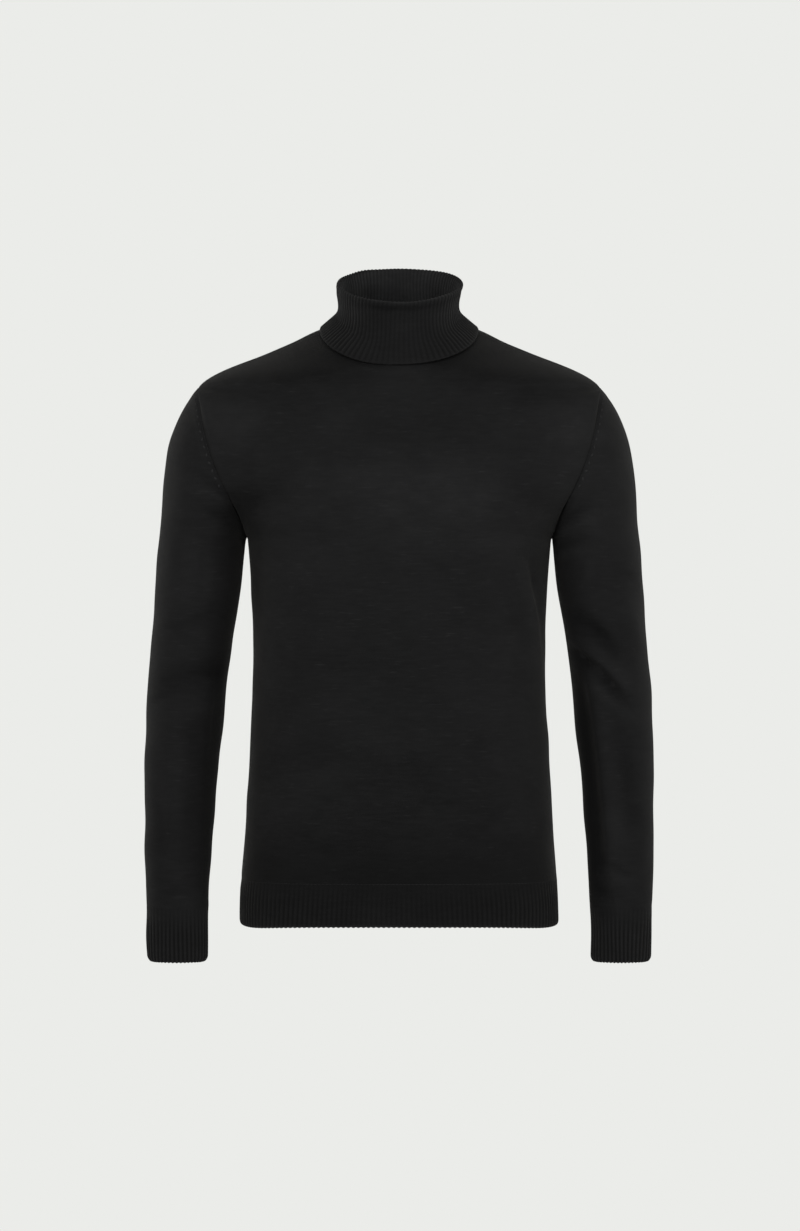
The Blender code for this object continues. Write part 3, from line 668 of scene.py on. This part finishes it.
def tubePiece(name, loop, middle, paintedShade, paintedLightAndWearLevels, borderRows, finish, node):
    # a tube: its rows run down the face, round the edge, up the inside and back to the first row. Its
    # cloth coordinates are the lengths round from the column `middle` and along the loop.
    index = np.arange(loop[..., 0].size).reshape(loop.shape[:2])
    closed = wrapped(loop)
    around = lengthAlong(closed, 1)
    cloth = np.stack((around - around[:, [middle]], -lengthAlong(closed, 0)), axis=-1)
    clothIndex = np.arange(around.size).reshape(around.shape)
    unseen = np.zeros((len(loop) - len(paintedShade), loop.shape[1]))  # rows of the edge and the inside
    border = np.zeros(index.shape, bool)
    border[borderRows] = True
    meshPiece(name, loop, gridQuads(wrapped(index)), cloth, gridQuads(clothIndex),
              np.concatenate((paintedShade, unseen)), np.concatenate((paintedLightAndWearLevels, unseen)), border, finish, [node])


def plainPiece(name, points, quads, cloth, finish):
    # a small piece that has no painted shade, no painted light or wear and no sharp edges
    none = np.zeros(points.shape[:2])
    meshPiece(name, points, quads, cloth, quads, none, none, none > 0.0, finish)


def tubeLoop(outer, inside, count, edgeRows):
    # a tube's rows: its face, an edge of half a circle and `count` rows of the inside, back up
    inner = inside[np.linspace(len(inside) - 1, 0, count).round().astype(int)]
    turn = np.linspace(0.0, math.pi, edgeRows + 2)[1:-1, None, None]
    half = (outer[-1] - inner[0]) / 2.0
    down = unitVectors(outer[-1] - outer[-2]) * np.linalg.norm(half, axis=-1, keepdims=True)
    return np.concatenate((outer, inner[0] + half * (1.0 + np.cos(turn)) + down * np.sin(turn), inner))


panels = {
    "columns": 216, "rows": 190, "fineRows": 800, "wall": 0.0016,
    "armholeStart": 3.0, "armholeEnd": 4.0,  # how fast, in rows of the body's table, its seam fades
    "band": 0.074, "bandShade": 0.85,  # cloth this far above the rib lies closer, with painted shade on it
    # painted shade on cloth that faces up, more the more it faces up
    "upShade": 0.75,
    "front": {"flat": (0.537, 0.660), "area": 0.301},
    "back": {"flat": (0.539, 0.680), "area": 0.308},
}


def bodyRows(count):
    # row numbers of the body's table from the neck to the rib, spread by the length down its side
    fine = np.linspace(0.0, body["hemRow"], panels["fineRows"])
    row = readTable(body, fine)
    down = lengthAlong(np.stack((row["sideX"], row["sideZ"]), axis=-1), 0)[:, 0]
    return np.interp(np.linspace(0.0, down[-1], count), down, fine)


def makePanel(name, side):
    at = bodyRows(panels["rows"])
    grid = bodyHalf(at, panels["columns"], side)
    normals = outwardNormals(grid, around=False)
    x, z = grid[..., 0], grid[..., 2]
    across, down = lengthAlong(grid, 1), lengthAlong(grid, 0)
    fromSide = np.minimum(across, across[:, -1:] - across)
    fromRib = down[-1:] - down
    inArmhole = smoothStep((at - body["shoulderRow"]) * panels["armholeStart"])
    inArmhole = inArmhole * smoothStep((body["underarmRow"] - at) * panels["armholeEnd"])
    force = inArmhole[:, None] * forceAt(z)
    seen = np.minimum(force, 1.0)
    height = seamHeight(fromSide, armholeForm) * force + seamHeight(fromSide, sideForm) * (1.0 - seen)
    height = height - tuckDepth(fromRib, normals, tuck["above"])
    height = height - underarmOpening(z, normals[..., 0] * np.sign(x))
    outer = draped(grid, normals, np.minimum(fromSide, fromRib)) + normals * height[..., None]
    # painted shade at the seams, in the crook under the arm, in the band above the rib and on cloth that
    # faces up
    paintedShade = seamShade(fromSide, armholeForm) * seen + seamShade(fromSide, sideForm) * (1.0 - seen)
    paintedShade = np.maximum(paintedShade, underarmShade(fromSide, z))
    paintedShade = darker(paintedShade, panels["bandShade"] * smoothStep(1.0 - fromRib / panels["band"]))
    paintedShade = darker(paintedShade, panels["upShade"] * upward(normals) ** 2)
    level = np.argmin(np.abs(at - body["underarmRow"]))
    cloth = np.stack((across - across[:, -1:] / 2.0, down[level] - down), axis=-1)
    inner = outer - normals * panels["wall"]
    wallPiece(name, outer, inner, cloth, paintedShade, wornAmount(grid, normals), "knit", side)


# innerShade is the painted shade on a sleeve's side that faces the body
sleeves = {"columns": 176, "rows": 250, "insideRows": 50, "wall": 0.0016, "lowRowPitch": 0.0475,
           "innerShade": 0.8, "flat": (0.350, 0.608), "area": 0.149}


def sleeveFace(at, columns, mirror):
    # a sleeve's draped face at rows `at`, its normals and the length down it from the armhole
    grid = sleeveTube(at, circle(columns))
    if mirror:
        grid = mirrored(grid)
    normals = outwardNormals(grid, around=True)
    down = lengthAlong(grid, 0)
    fromEdge = np.minimum(down, (sleeve["cuffRow"] - at)[:, None] * sleeves["lowRowPitch"])
    height = seamHeight(down, armholeForm) * forceAt(grid[..., 2])
    height = height - underarmOpening(grid[..., 2], -normals[..., 0] * np.sign(grid[..., 0]))
    return draped(grid, normals, fromEdge) + normals * height[..., None], normals, down


def makeSleeve(name, node, mirror):
    at = np.linspace(0.0, sleeve["cuffRow"], sleeves["rows"])
    outer, normals, down = sleeveFace(at, sleeves["columns"], mirror)
    loop = tubeLoop(outer, outer - normals * sleeves["wall"], sleeves["insideRows"], 0)
    inward = np.clip(-normals[..., 0] * np.sign(outer[..., 0]), 0.0, 1.0)
    # painted shade at the armhole seam, in the crook under the arm and on the side that faces the body
    paintedShade = np.maximum.reduce((
        seamShade(down, armholeForm) * np.minimum(forceAt(outer[..., 2]), 1.0),
        underarmShade(down, outer[..., 2]),
        sleeves["innerShade"] * inward**3,
    ))
    borderRows = [0, len(outer) - 1, len(outer), len(loop) - 1]
    tubePiece(name, loop, sleeves["columns"] // 2, paintedShade, wornAmount(outer, normals), borderRows, "knit",
              node)


ribForm = {"columnsPerRib": 8, "height": 0.00048, "square": 1.4, "lift": 0.25, "inside": 0.3,
           "wall": 0.0019, "edgeRoll": 0.0003, "rollWidth": 0.0016}


def ribHeight(turns, look):
    # rounded ribs with narrow valleys: a cosine of the turns, flattened at its crests by tanh
    wave = np.cos(2.0 * math.pi * turns) + look["lift"]
    flat = np.tanh(look["square"] * wave) / math.tanh(look["square"] * (1.0 + look["lift"]))
    return flat * look["height"]


def ribbedFace(base, normals, turns, strength, fromLow, look):
    # the base raised into ribs, with a swollen and scalloped edge, and the painted shade that each point
    # gets between the ribs, more the deeper it lies
    height = ribHeight(turns, look)
    paintedShade = np.clip((look["height"] - height) / (2.0 * look["height"]), 0.0, 1.0) * strength
    roll = bell(fromLow, 0.0, look["rollWidth"])
    face = base + normals * (height * strength + look["edgeRoll"] * roll)[..., None]
    face[..., 2] -= look["scallop"] * roll * np.cos(2.0 * math.pi * turns)
    return face, paintedShade


def ribbedInside(base, normals, turns, look):
    # the wall's other side, with its own low ribs between those of the face
    return base - normals * (look["wall"] - look["inside"] * ribHeight(turns + 0.5, look))[..., None]


def ribEdge(fromLow, normals, look):
    # the last few millimetres of a rib curl inwards, as a quarter of an ellipse, more at the sides
    turn = np.clip(1.0 - fromLow / look["curlReach"], 0.0, 1.0)
    depth = look["curl"] + look["sideCurl"] * normals[..., 0] ** 2
    return depth * (1.0 - np.sqrt(1.0 - turn**2))


def ribStart(down, look):
    # ribs begin flat where they are knitted on and reach their whole height after a soft step
    return look["start"] + (1.0 - look["start"]) * smoothStep(down / look["fadeIn"])


def ribTurns(around, down, sideways, look):
    # how many ribs lie before each point: an even count that wanders a little as a sine
    downTurns, sideTurns = look["wanderTurns"]
    return around * look["ribs"] + look["wander"] * np.sin(downTurns * down + sideTurns * sideways)


def stretchedFlat(grid, look):
    # ribs lie flatter in the middle of the front and the back, where the cloth is stretched most
    return 1.0 - look["middleFlat"] * (1.0 - smoothStep(np.abs(grid[..., 0]) / look["flatReach"]))


def towardsEdge(first, last, count):
    # row numbers from first to last, closer together towards the last: 1 - (1 - t)^1.7
    return first + (last - first) * (1.0 - (1.0 - np.linspace(0.0, 1.0, count)) ** 1.7)


hem = {**ribForm, "ribs": 90, "rows": 20, "wander": 0.10, "wanderTurns": (60.0, 25.0), "scallop": 0.00045,
       "edgeRoll": 0.00035, "start": 0.35, "fadeIn": 0.026, "curl": 0.0008, "sideCurl": 0.0018,
       "curlReach": 0.0045, "topShade": 0.62, "lowShade": 0.22, "edgePale": 2.2, "paleReach": 0.0018,
       "sideDrop": 0.0016, "drop": 0.0008, "middleFlat": 0.55, "flatReach": 0.160, "flat": (0.505, 0.048)}


def makeHem(name, node, side):
    count = hem["ribs"] * hem["columnsPerRib"] + 1
    grid = bodyHalf(towardsEdge(body["hemRow"], body["edgeRow"], hem["rows"]), count, side)
    normals = outwardNormals(grid, around=False)
    down = lengthAlong(grid, 0)
    grid[..., 2] -= down / down[-1:] * (hem["drop"] + hem["sideDrop"] * normals[..., 0] ** 2)
    across = lengthAlong(grid, 1)
    fromSide = np.minimum(across, across[:, -1:] - across)
    fromLow = down[-1:] - down
    inward = tuckDepth(down, normals, tuck["below"]) + ribEdge(fromLow, normals, hem)
    base = draped(grid, normals, np.minimum(down, fromSide)) - normals * inward[..., None]
    turns = ribTurns(np.linspace(0.0, 1.0, count)[None, :], down, across, hem)
    strength = ribStart(down, hem) * stretchedFlat(grid, hem)
    outer, paintedShade = ribbedFace(base, normals, turns, strength, fromLow, hem)
    inner = ribbedInside(base, normals, turns, hem)
    inner[-1, :, 2] = outer[-1, :, 2]
    # painted shade over the whole rib, more at its top, going on from the band above it
    paintedShade = darker(paintedShade, hem["lowShade"] + (hem["topShade"] - hem["lowShade"]) * fromLow / down[-1:])
    cloth = np.stack((across - across[:, -1:] / 2.0, -down), axis=-1)
    pale = wornAmount(grid, normals) + hem["edgePale"] * bell(fromLow, 0.0, hem["paleReach"])
    wallPiece(name, outer, inner, cloth, paintedShade, pale, "rib", node)


cuffs = {**ribForm, "ribs": 40, "columnsPerRib": 12, "rows": 22, "insideRows": 10, "wander": 0.10,
         "wanderTurns": (50.0, 3.0), "scallop": 0.0004, "start": 0.15, "fadeIn": 0.036, "curl": 0.0014,
         "sideCurl": 0.0040, "curlReach": 0.0075, "pale": 0.20, "rise": 0.0036, "frontRise": 0.0006,
         "flat": (0.193, 0.066)}


def makeCuff(name, node, mirror):
    count = cuffs["ribs"] * cuffs["columnsPerRib"]
    at = towardsEdge(sleeve["cuffRow"], sleeve["edgeRow"], cuffs["rows"])
    fine = np.linspace(0.0, 2.0 * math.pi, body["finePoints"] + 1)
    grid = spreadEvenly(sleeveTube(at, fine), count + 1)[:, :-1]
    if mirror:
        grid = mirrored(grid)
    normals = outwardNormals(grid, around=True)
    down = lengthAlong(grid, 0)
    grid[..., 2] += down / down[-1:] * (cuffs["rise"] - cuffs["frontRise"] * normals[..., 1])
    fromLow = down[-1:] - down
    base = draped(grid, normals, down) - normals * ribEdge(fromLow, normals, cuffs)[..., None]
    phase = circle(count)[None, :]
    turns = ribTurns(phase / (2.0 * math.pi), down, np.cos(phase), cuffs)
    outer, paintedShade = ribbedFace(base, normals, turns, ribStart(down, cuffs), fromLow, cuffs)
    loop = tubeLoop(outer, ribbedInside(base, normals, turns, cuffs), cuffs["insideRows"], 3)
    pale = wornAmount(outer, normals) + cuffs["pale"] * smoothStep(down / cuffs["fadeIn"])
    tubePiece(name, loop, count // 2, paintedShade, pale, [0, len(loop) - 1], "rib", node)


collarRib = {
    **ribForm, "ribs": 90, "rows": 76, "insideRows": 20, "wall": 0.0018, "height": 0.00050,
    "wander": 0.12, "wanderTurns": (9.0, 4.0), "scallop": 0.0005, "rollWidth": 0.0018,
    "middleFlat": 0.65, "flatReach": 0.070, "shade": 0.14, "flat": (0.430, 0.130),
    # the fold leans to the wearer's left and stands higher behind at the right; turns and the widths
    # beside them are shares of the way over the collar, from its inner seam
    "leanWidth": 0.09, "lean": 0.0019, "leanSlope": 5.0, "raise": 0.0025, "raiseX": -0.046,
    "raiseWidth": 0.017,
    # the top of the fold gets a painted highlight and the groove below it painted shade; the sides and the
    # inside get painted light
    "foldTurn": 0.492, "grooveTurn": 0.585,
    "bulge": (0.0008, -0.00064), "bulgeWidths": (0.035, 0.030),
    "pale": (1.7, -0.6), "paleWidths": (0.030, 0.022), "paintedSideLight": 3.2, "sideTurn": 0.60,
    "sideWidth": 0.15, "paintedInsideLight": 1.9, "insideTurn": 0.46, "insideRise": 8.0,
    # it sags unevenly, as sines: how far, turns round it and over it, and the phase
    "sags": ((0.0006, 3.0, 0.0, 1.3), (0.0005, 5.0, 4.0, 0.0)),
}


def foldAndGroove(turn, sizes, widths):
    # two bell curves, one at the top of the fold and one in the groove below it
    places = collarRib["foldTurn"], collarRib["grooveTurn"]
    return sum(size * bell(turn, place, width) for size, place, width in zip(sizes, places, widths))


def makeCollar(name, node):
    look = collarRib
    count = look["ribs"] * look["columnsPerRib"]
    lastRow = len(collar["rows"]) - 1
    at = np.linspace(0.0, lastRow, look["rows"])
    grid = collarRings(at, count)
    normals = outwardNormals(grid, around=True)
    phase = circle(count)[None, :]
    turn = at[:, None] / lastRow
    atFold = bell(turn, 0.5, look["leanWidth"])
    raised = bell(grid[..., 0], look["raiseX"], look["raiseWidth"]) * (grid[..., 1] > 0.0)
    grid[..., 2] += look["raise"] * atFold * raised
    grid[..., 0] += look["lean"] * atFold * (1.0 - look["leanSlope"] * grid[..., 0])
    sag = sum(size * np.sin(around * phase + over * turn + start)
              for size, around, over, start in look["sags"])
    bulge = foldAndGroove(turn, look["bulge"], look["bulgeWidths"])
    base = grid + normals * (sag + bulge)[..., None]
    turns = ribTurns(phase / (2.0 * math.pi), turn, np.sin(2.0 * phase), look)
    down = lengthAlong(grid, 0)
    outer, paintedShade = ribbedFace(base, normals, turns, stretchedFlat(grid, look), down[-1:] - down, look)
    loop = tubeLoop(outer, base - normals * look["wall"], look["insideRows"], 3)
    # painted light on the inside and the sides, a painted highlight on the fold's top and painted shade in
    # its groove
    pale = look["paintedInsideLight"] * smoothStep((look["insideTurn"] - turn) * look["insideRise"])
    pale = pale + foldAndGroove(turn, look["pale"], look["paleWidths"])
    pale = pale + look["paintedSideLight"] * bell(turn, look["sideTurn"], look["sideWidth"]) * normals[..., 0] ** 4
    tubePiece(name, loop, 0, darker(paintedShade, look["shade"]), pale, [0, len(loop) - 1], "rib", node)


print("panels")
makePanel("frontPanel", "front")
makePanel("backPanel", "back")
print("sleeves")
makeSleeve("sleeveLeft", "sleeve_left", mirror=False)
makeSleeve("sleeveRight", "sleeve_right", mirror=True)
print("ribs")
makeHem("hemRibFront", "hem_front", "front")
makeHem("hemRibBack", "hem_back", "back")
makeCuff("cuffRibLeft", "cuff_left", mirror=False)
makeCuff("cuffRibRight", "cuff_right", mirror=True)
makeCollar("collarRib", "collar")


threads = {
    # along each seam: the thread's radius, a stitch's length and the swell of its bead
    "armhole": (0.00042, 0.0026, 0.40), "side": (0.00036, 0.0022, 0.30),
    "shoulder": (0.00040, 0.0022, 0.30), "sleeve": (0.00034, 0.0022, 0.30),
    "hem": (0.00042, 0.0044, 0.45),
    "sides": 6, "sink": 0.35, "steps": 4.0, "endSize": 0.3,
    "armholeLeast": 0.2,  # share of its radius that a thread keeps where the seam bites least
    "hemLeast": 0.55, "hemMore": 0.55, "hemX": 0.022, "hemWidth": 0.055,
    "armholeTilt": 0.4, "shoulderTilt": 0.35, "sideDropReach": 0.0425, "rowStep": 0.05,
    "points": {"armhole": 721, "side": 300, "shoulder": 200, "sleeve": 300, "hem": 600},
    "sleeveColumns": 48,
}


def cordPiece(name, path, normals, kind, force=1.0):
    # A linking thread, a circle carried along the seam's path: its radius swells as a cosine of the
    # length, one bead a stitch, and it lies half in the cloth; force thins it in places.
    radius, pitch, bead = threads[kind]
    along = lengthAlong(path[:, None], 0)[:, 0]
    wanted = np.linspace(0.0, along[-1], int(along[-1] / pitch * threads["steps"]))
    line, up = readAlong(wanted, along, path), unitVectors(readAlong(wanted, along, normals))
    side = unitVectors(np.cross(np.gradient(line, axis=0), up))
    turn = circle(threads["sides"])[None, :, None]
    beads = 1.0 + bead * np.cos(2.0 * math.pi * wanted / pitch)
    size = radius * beads * np.interp(wanted, along, np.broadcast_to(force, along.shape))
    middle = (line - up * radius * threads["sink"])[:, None, :]
    points = middle + size[:, None, None] * (side[:, None] * np.cos(turn) + up[:, None] * np.sin(turn))
    points[[0, -1]] = middle[[0, -1]] + (points[[0, -1]] - middle[[0, -1]]) * threads["endSize"]
    index = np.arange(points[..., 0].size).reshape(points.shape[:2])
    ends = index[0, [[0, 1, 2, 3], [0, 3, 4, 5]]], index[-1, [[3, 2, 1, 0], [5, 4, 3, 0]]]
    quads = np.concatenate((gridQuads(np.concatenate((index, index[:, :1]), axis=1)), *ends))
    cloth = np.stack(np.broadcast_arrays(turn[..., 0] * radius, wanted[:, None]), axis=-1)
    plainPiece(name, points, quads, cloth, "thread")


def makeSeams():
    # linking threads, each along the edge that two pieces share; most are one path for both sides
    points, rowStep = threads["points"], threads["rowStep"]
    cap = sleeveTube((0.0, rowStep), np.linspace(0.0, 2.0 * math.pi, points["armhole"]))
    capUp = unitVectors(cap[0] - cap[0].mean(axis=0)) + unitVectors(cap[0] - cap[1]) * threads["armholeTilt"]
    capUp = unitVectors(capUp)
    force = forceAt(cap[0, :, 2])
    armhole = cap[0] - capUp * (armholeForm["pinch"] * force)[:, None]
    least = threads["armholeLeast"]
    thinned = least + (1.0 - least) * np.minimum(force, 1.0)
    side = bodyHalf(np.linspace(body["underarmRow"], body["edgeRow"], points["side"]), 3, "front")[:, -1]
    sideUp = np.tile((1.0, 0.0, 0.0), (len(side), 1))
    fromLow = side[:, 2] - side[-1, 2]
    side[:, 2] -= (hem["drop"] + hem["sideDrop"]) * smoothStep(1.0 - fromLow / threads["sideDropReach"])
    side = side - sideUp * (sideForm["pinch"] + ribEdge(fromLow, sideUp, hem))[:, None]
    shoulder = bodyHalf(np.linspace(0.0, body["shoulderRow"], points["shoulder"]), 3, "front")[:, -1]
    shoulderUp = unitVectors(np.tile((threads["shoulderTilt"], 0.0, 1.0), (len(shoulder), 1)))
    shoulder = shoulder - shoulderUp * (sideForm["pinch"] + sinkDepth(shoulder, shoulderUp))[:, None]
    for kind, path, up, force in (("armhole", armhole, capUp, thinned), ("side", side, sideUp, np.ones(1)),
                                  ("shoulder", shoulder, shoulderUp, np.ones(1))):
        cordPiece(kind + "SeamLeft", path, up, kind, force)
        cordPiece(kind + "SeamRight", flipX(path)[::-1], flipX(up)[::-1], kind, force[::-1])
    for end, mirror in (("Left", False), ("Right", True)):
        at = np.linspace(0.0, sleeve["cuffRow"], points["sleeve"])
        face, normals, _ = sleeveFace(at, threads["sleeveColumns"], mirror)
        cordPiece("sleeveSeam" + end, face[:, 0], normals[:, 0], "sleeve")
    for name, half in (("hemLinkFront", "front"), ("hemLinkBack", "back")):
        grid = bodyHalf((body["hemRow"], body["hemRow"] + rowStep), points["hem"], half)
        normals = outwardNormals(grid, around=False)
        path = (grid - normals * tuckDepth(0.0, normals, 1.0)[..., None])[0]
        thick = bell(path[:, 0], threads["hemX"], threads["hemWidth"])
        cordPiece(name, path, normals[0], "hem", threads["hemLeast"] + threads["hemMore"] * thick)


marks = {"size": (0.0010, 0.0021, 0.0007), "pitch": 0.0095, "fromSeam": 0.0052, "lean": 26.0,
         "low": -0.176, "high": -0.074, "lastRow": 2.5, "rows": 300}


def ballMesh():
    # a closed ball of radius 1: a cube of 2 x 2 quads a side, its points pushed out to the sphere
    index = np.arange(27).reshape(3, 3, 3)
    steps = np.linspace(-1.0, 1.0, 3)
    points = unitVectors(np.stack(np.meshgrid(steps, steps, steps, indexing="ij"), axis=-1).reshape(-1, 3))
    quads = np.concatenate([part for axis, near, far in ((0, 2, 0), (1, 0, 2), (2, 2, 0)) for part in (
        gridQuads(index.take(near, axis)), gridQuads(index.take(far, axis))[:, ::-1])])
    kept = np.arange(27) != 13  # the cube's middle
    return points[kept], (np.cumsum(kept) - 1)[quads]


def makeMarks(name, mirror):
    # Fashioning marks, raised stitches where the sleeve was narrowed: a row of flat balls in front and
    # one behind, a little way out from the armhole, leaning to either side by turns
    at = np.linspace(0.0, marks["lastRow"], marks["rows"])
    face, normals, down = sleeveFace(at, sleeves["columns"], mirror)
    nearest = np.argmin(np.abs(down - marks["fromSeam"]), axis=0)
    column = np.arange(sleeves["columns"])
    path, ups = face[nearest, column], normals[nearest, column]
    rows = []
    for side in faces.values():
        found = (path[:, 1] * side > 0.0) & (path[:, 2] > marks["low"]) & (path[:, 2] < marks["high"])
        order = column[found][np.argsort(path[found, 2])]
        length = lengthAlong(path[order][:, None], 0)[:, 0]
        wanted = np.arange(0.0, length[-1], marks["pitch"])
        centre, up = (readAlong(wanted, length, vectors[order]) for vectors in (path, ups))
        rows.append((centre, unitVectors(up), unitVectors(np.gradient(centre, axis=0))))
    centre, up, along = (np.concatenate(parts) for parts in zip(*rows))
    across = unitVectors(np.cross(along, up))
    lean = np.radians(marks["lean"]) * np.where(np.arange(len(centre)) % 2 == 0, 1.0, -1.0)[:, None]
    long = along * np.cos(lean) + across * np.sin(lean)
    ball, ballQuads = ballMesh()
    axes = np.stack((np.cross(long, up), long, up), axis=1) * np.array(marks["size"])[None, :, None]
    points = centre[:, None, :] + np.einsum("pa,nax->npx", ball, axes)
    quads = (ballQuads[None] + (np.arange(len(centre)) * len(ball))[:, None, None]).reshape(-1, 4)
    if np.linalg.det(axes[0]) < 0.0:
        quads = quads[:, ::-1]
    plainPiece(name, points, quads, points[..., [1, 2]], "mark")


print("seams and marks")
makeSeams()
makeMarks("fashioningLeft", mirror=False)
makeMarks("fashioningRight", mirror=True)


studio = {
    "backdrop": (0.831, 0.839, 0.815, 1.0),
    "floorZ": -1.45, "floorRadius": 2.6, "floorSides": 96,
    "floorLook": {"Base Color": (0.80, 0.80, 0.785, 1.0), "Roughness": 0.9, "Specular IOR Level": 0.1},
    "fade": (0.45, 0.97),  # shares of the radius between which the floor fades
    "aim": (0.0, 0.0, -0.30),
    "lights": (
        # name, place, width, power
        ("top", (0.0, -1.9, 1.0), 0.7, 31.0),
        ("frontLeft", (-1.0, -1.9, -0.2), 0.7, 17.0),
        ("frontRight", (1.0, -1.9, -0.2), 0.7, 6.0),
        ("left", (-2.6, 0.0, 0.0), 1.4, 2.4),
        ("right", (2.6, -0.95, 0.0), 1.4, 27.0),
        ("backLeft", (-2.3, 1.3, 0.0), 1.4, 19.6),
        ("backRight", (2.3, 1.3, 0.0), 1.4, 8.7),
    ),
}
view = {"place": (0.0009, -5.0, -0.3226), "frameHeight": 1.4157, "sensor": 36.0}


def makeFloor():
    # a pale round floor that fades into the backdrop towards its rim
    bpy.ops.mesh.primitive_circle_add(vertices=studio["floorSides"], radius=studio["floorRadius"],
                                      fill_type="TRIFAN", location=(0.0, 0.0, studio["floorZ"]))
    floor = bpy.context.object
    floor.name = "studioFloor"
    material = bpy.data.materials.new("paleFloor")
    material.use_nodes = True
    tree = material.node_tree
    shader = tree.nodes["Principled BSDF"]
    for key, value in studio["floorLook"].items():
        shader.inputs[key].default_value = value
    place = Signal(tree).make("ShaderNodeTexCoord", {}, {}, out="Object")
    radius = place.make("ShaderNodeVectorMath", {"operation": "LENGTH"}, {0: place}, out=1)
    near, far = (studio["floorRadius"] * share for share in studio["fade"])
    tree.links.new((1.0 - radius.between(near, far)).socket, shader.inputs["Alpha"])
    floor.data.materials.append(material)


def makeLights():
    world = bpy.context.scene.world or bpy.data.worlds.new("studio")
    bpy.context.scene.world = world
    world.use_nodes = True
    background = world.node_tree.nodes["Background"].inputs
    background["Color"].default_value = studio["backdrop"]
    background["Strength"].default_value = 1.0
    for name, place, width, power in studio["lights"]:
        lamp = bpy.data.lights.new(name, "AREA")
        lamp.shape = "DISK"
        lamp.size = width
        lamp.energy = power
        light = linked(name, lamp)
        light.location = place
        x, y, z = np.array(studio["aim"]) - np.array(place)
        light.rotation_euler = (math.atan2(math.hypot(x, y), -z), 0.0, math.atan2(y, x) - math.pi / 2.0)


def makeCamera():
    lens = bpy.data.cameras.new("camera")
    lens.sensor_width = view["sensor"]
    lens.lens = view["sensor"] * -view["place"][1] / view["frameHeight"]
    camera = linked("camera", lens)
    camera.location = view["place"]
    camera.rotation_euler = (math.pi / 2.0, 0.0, 0.0)
    bpy.context.scene.camera = camera
    bpy.context.scene.view_settings.view_transform = "Standard"


makeFloor()
makeLights()
makeCamera()
print("studio ready")
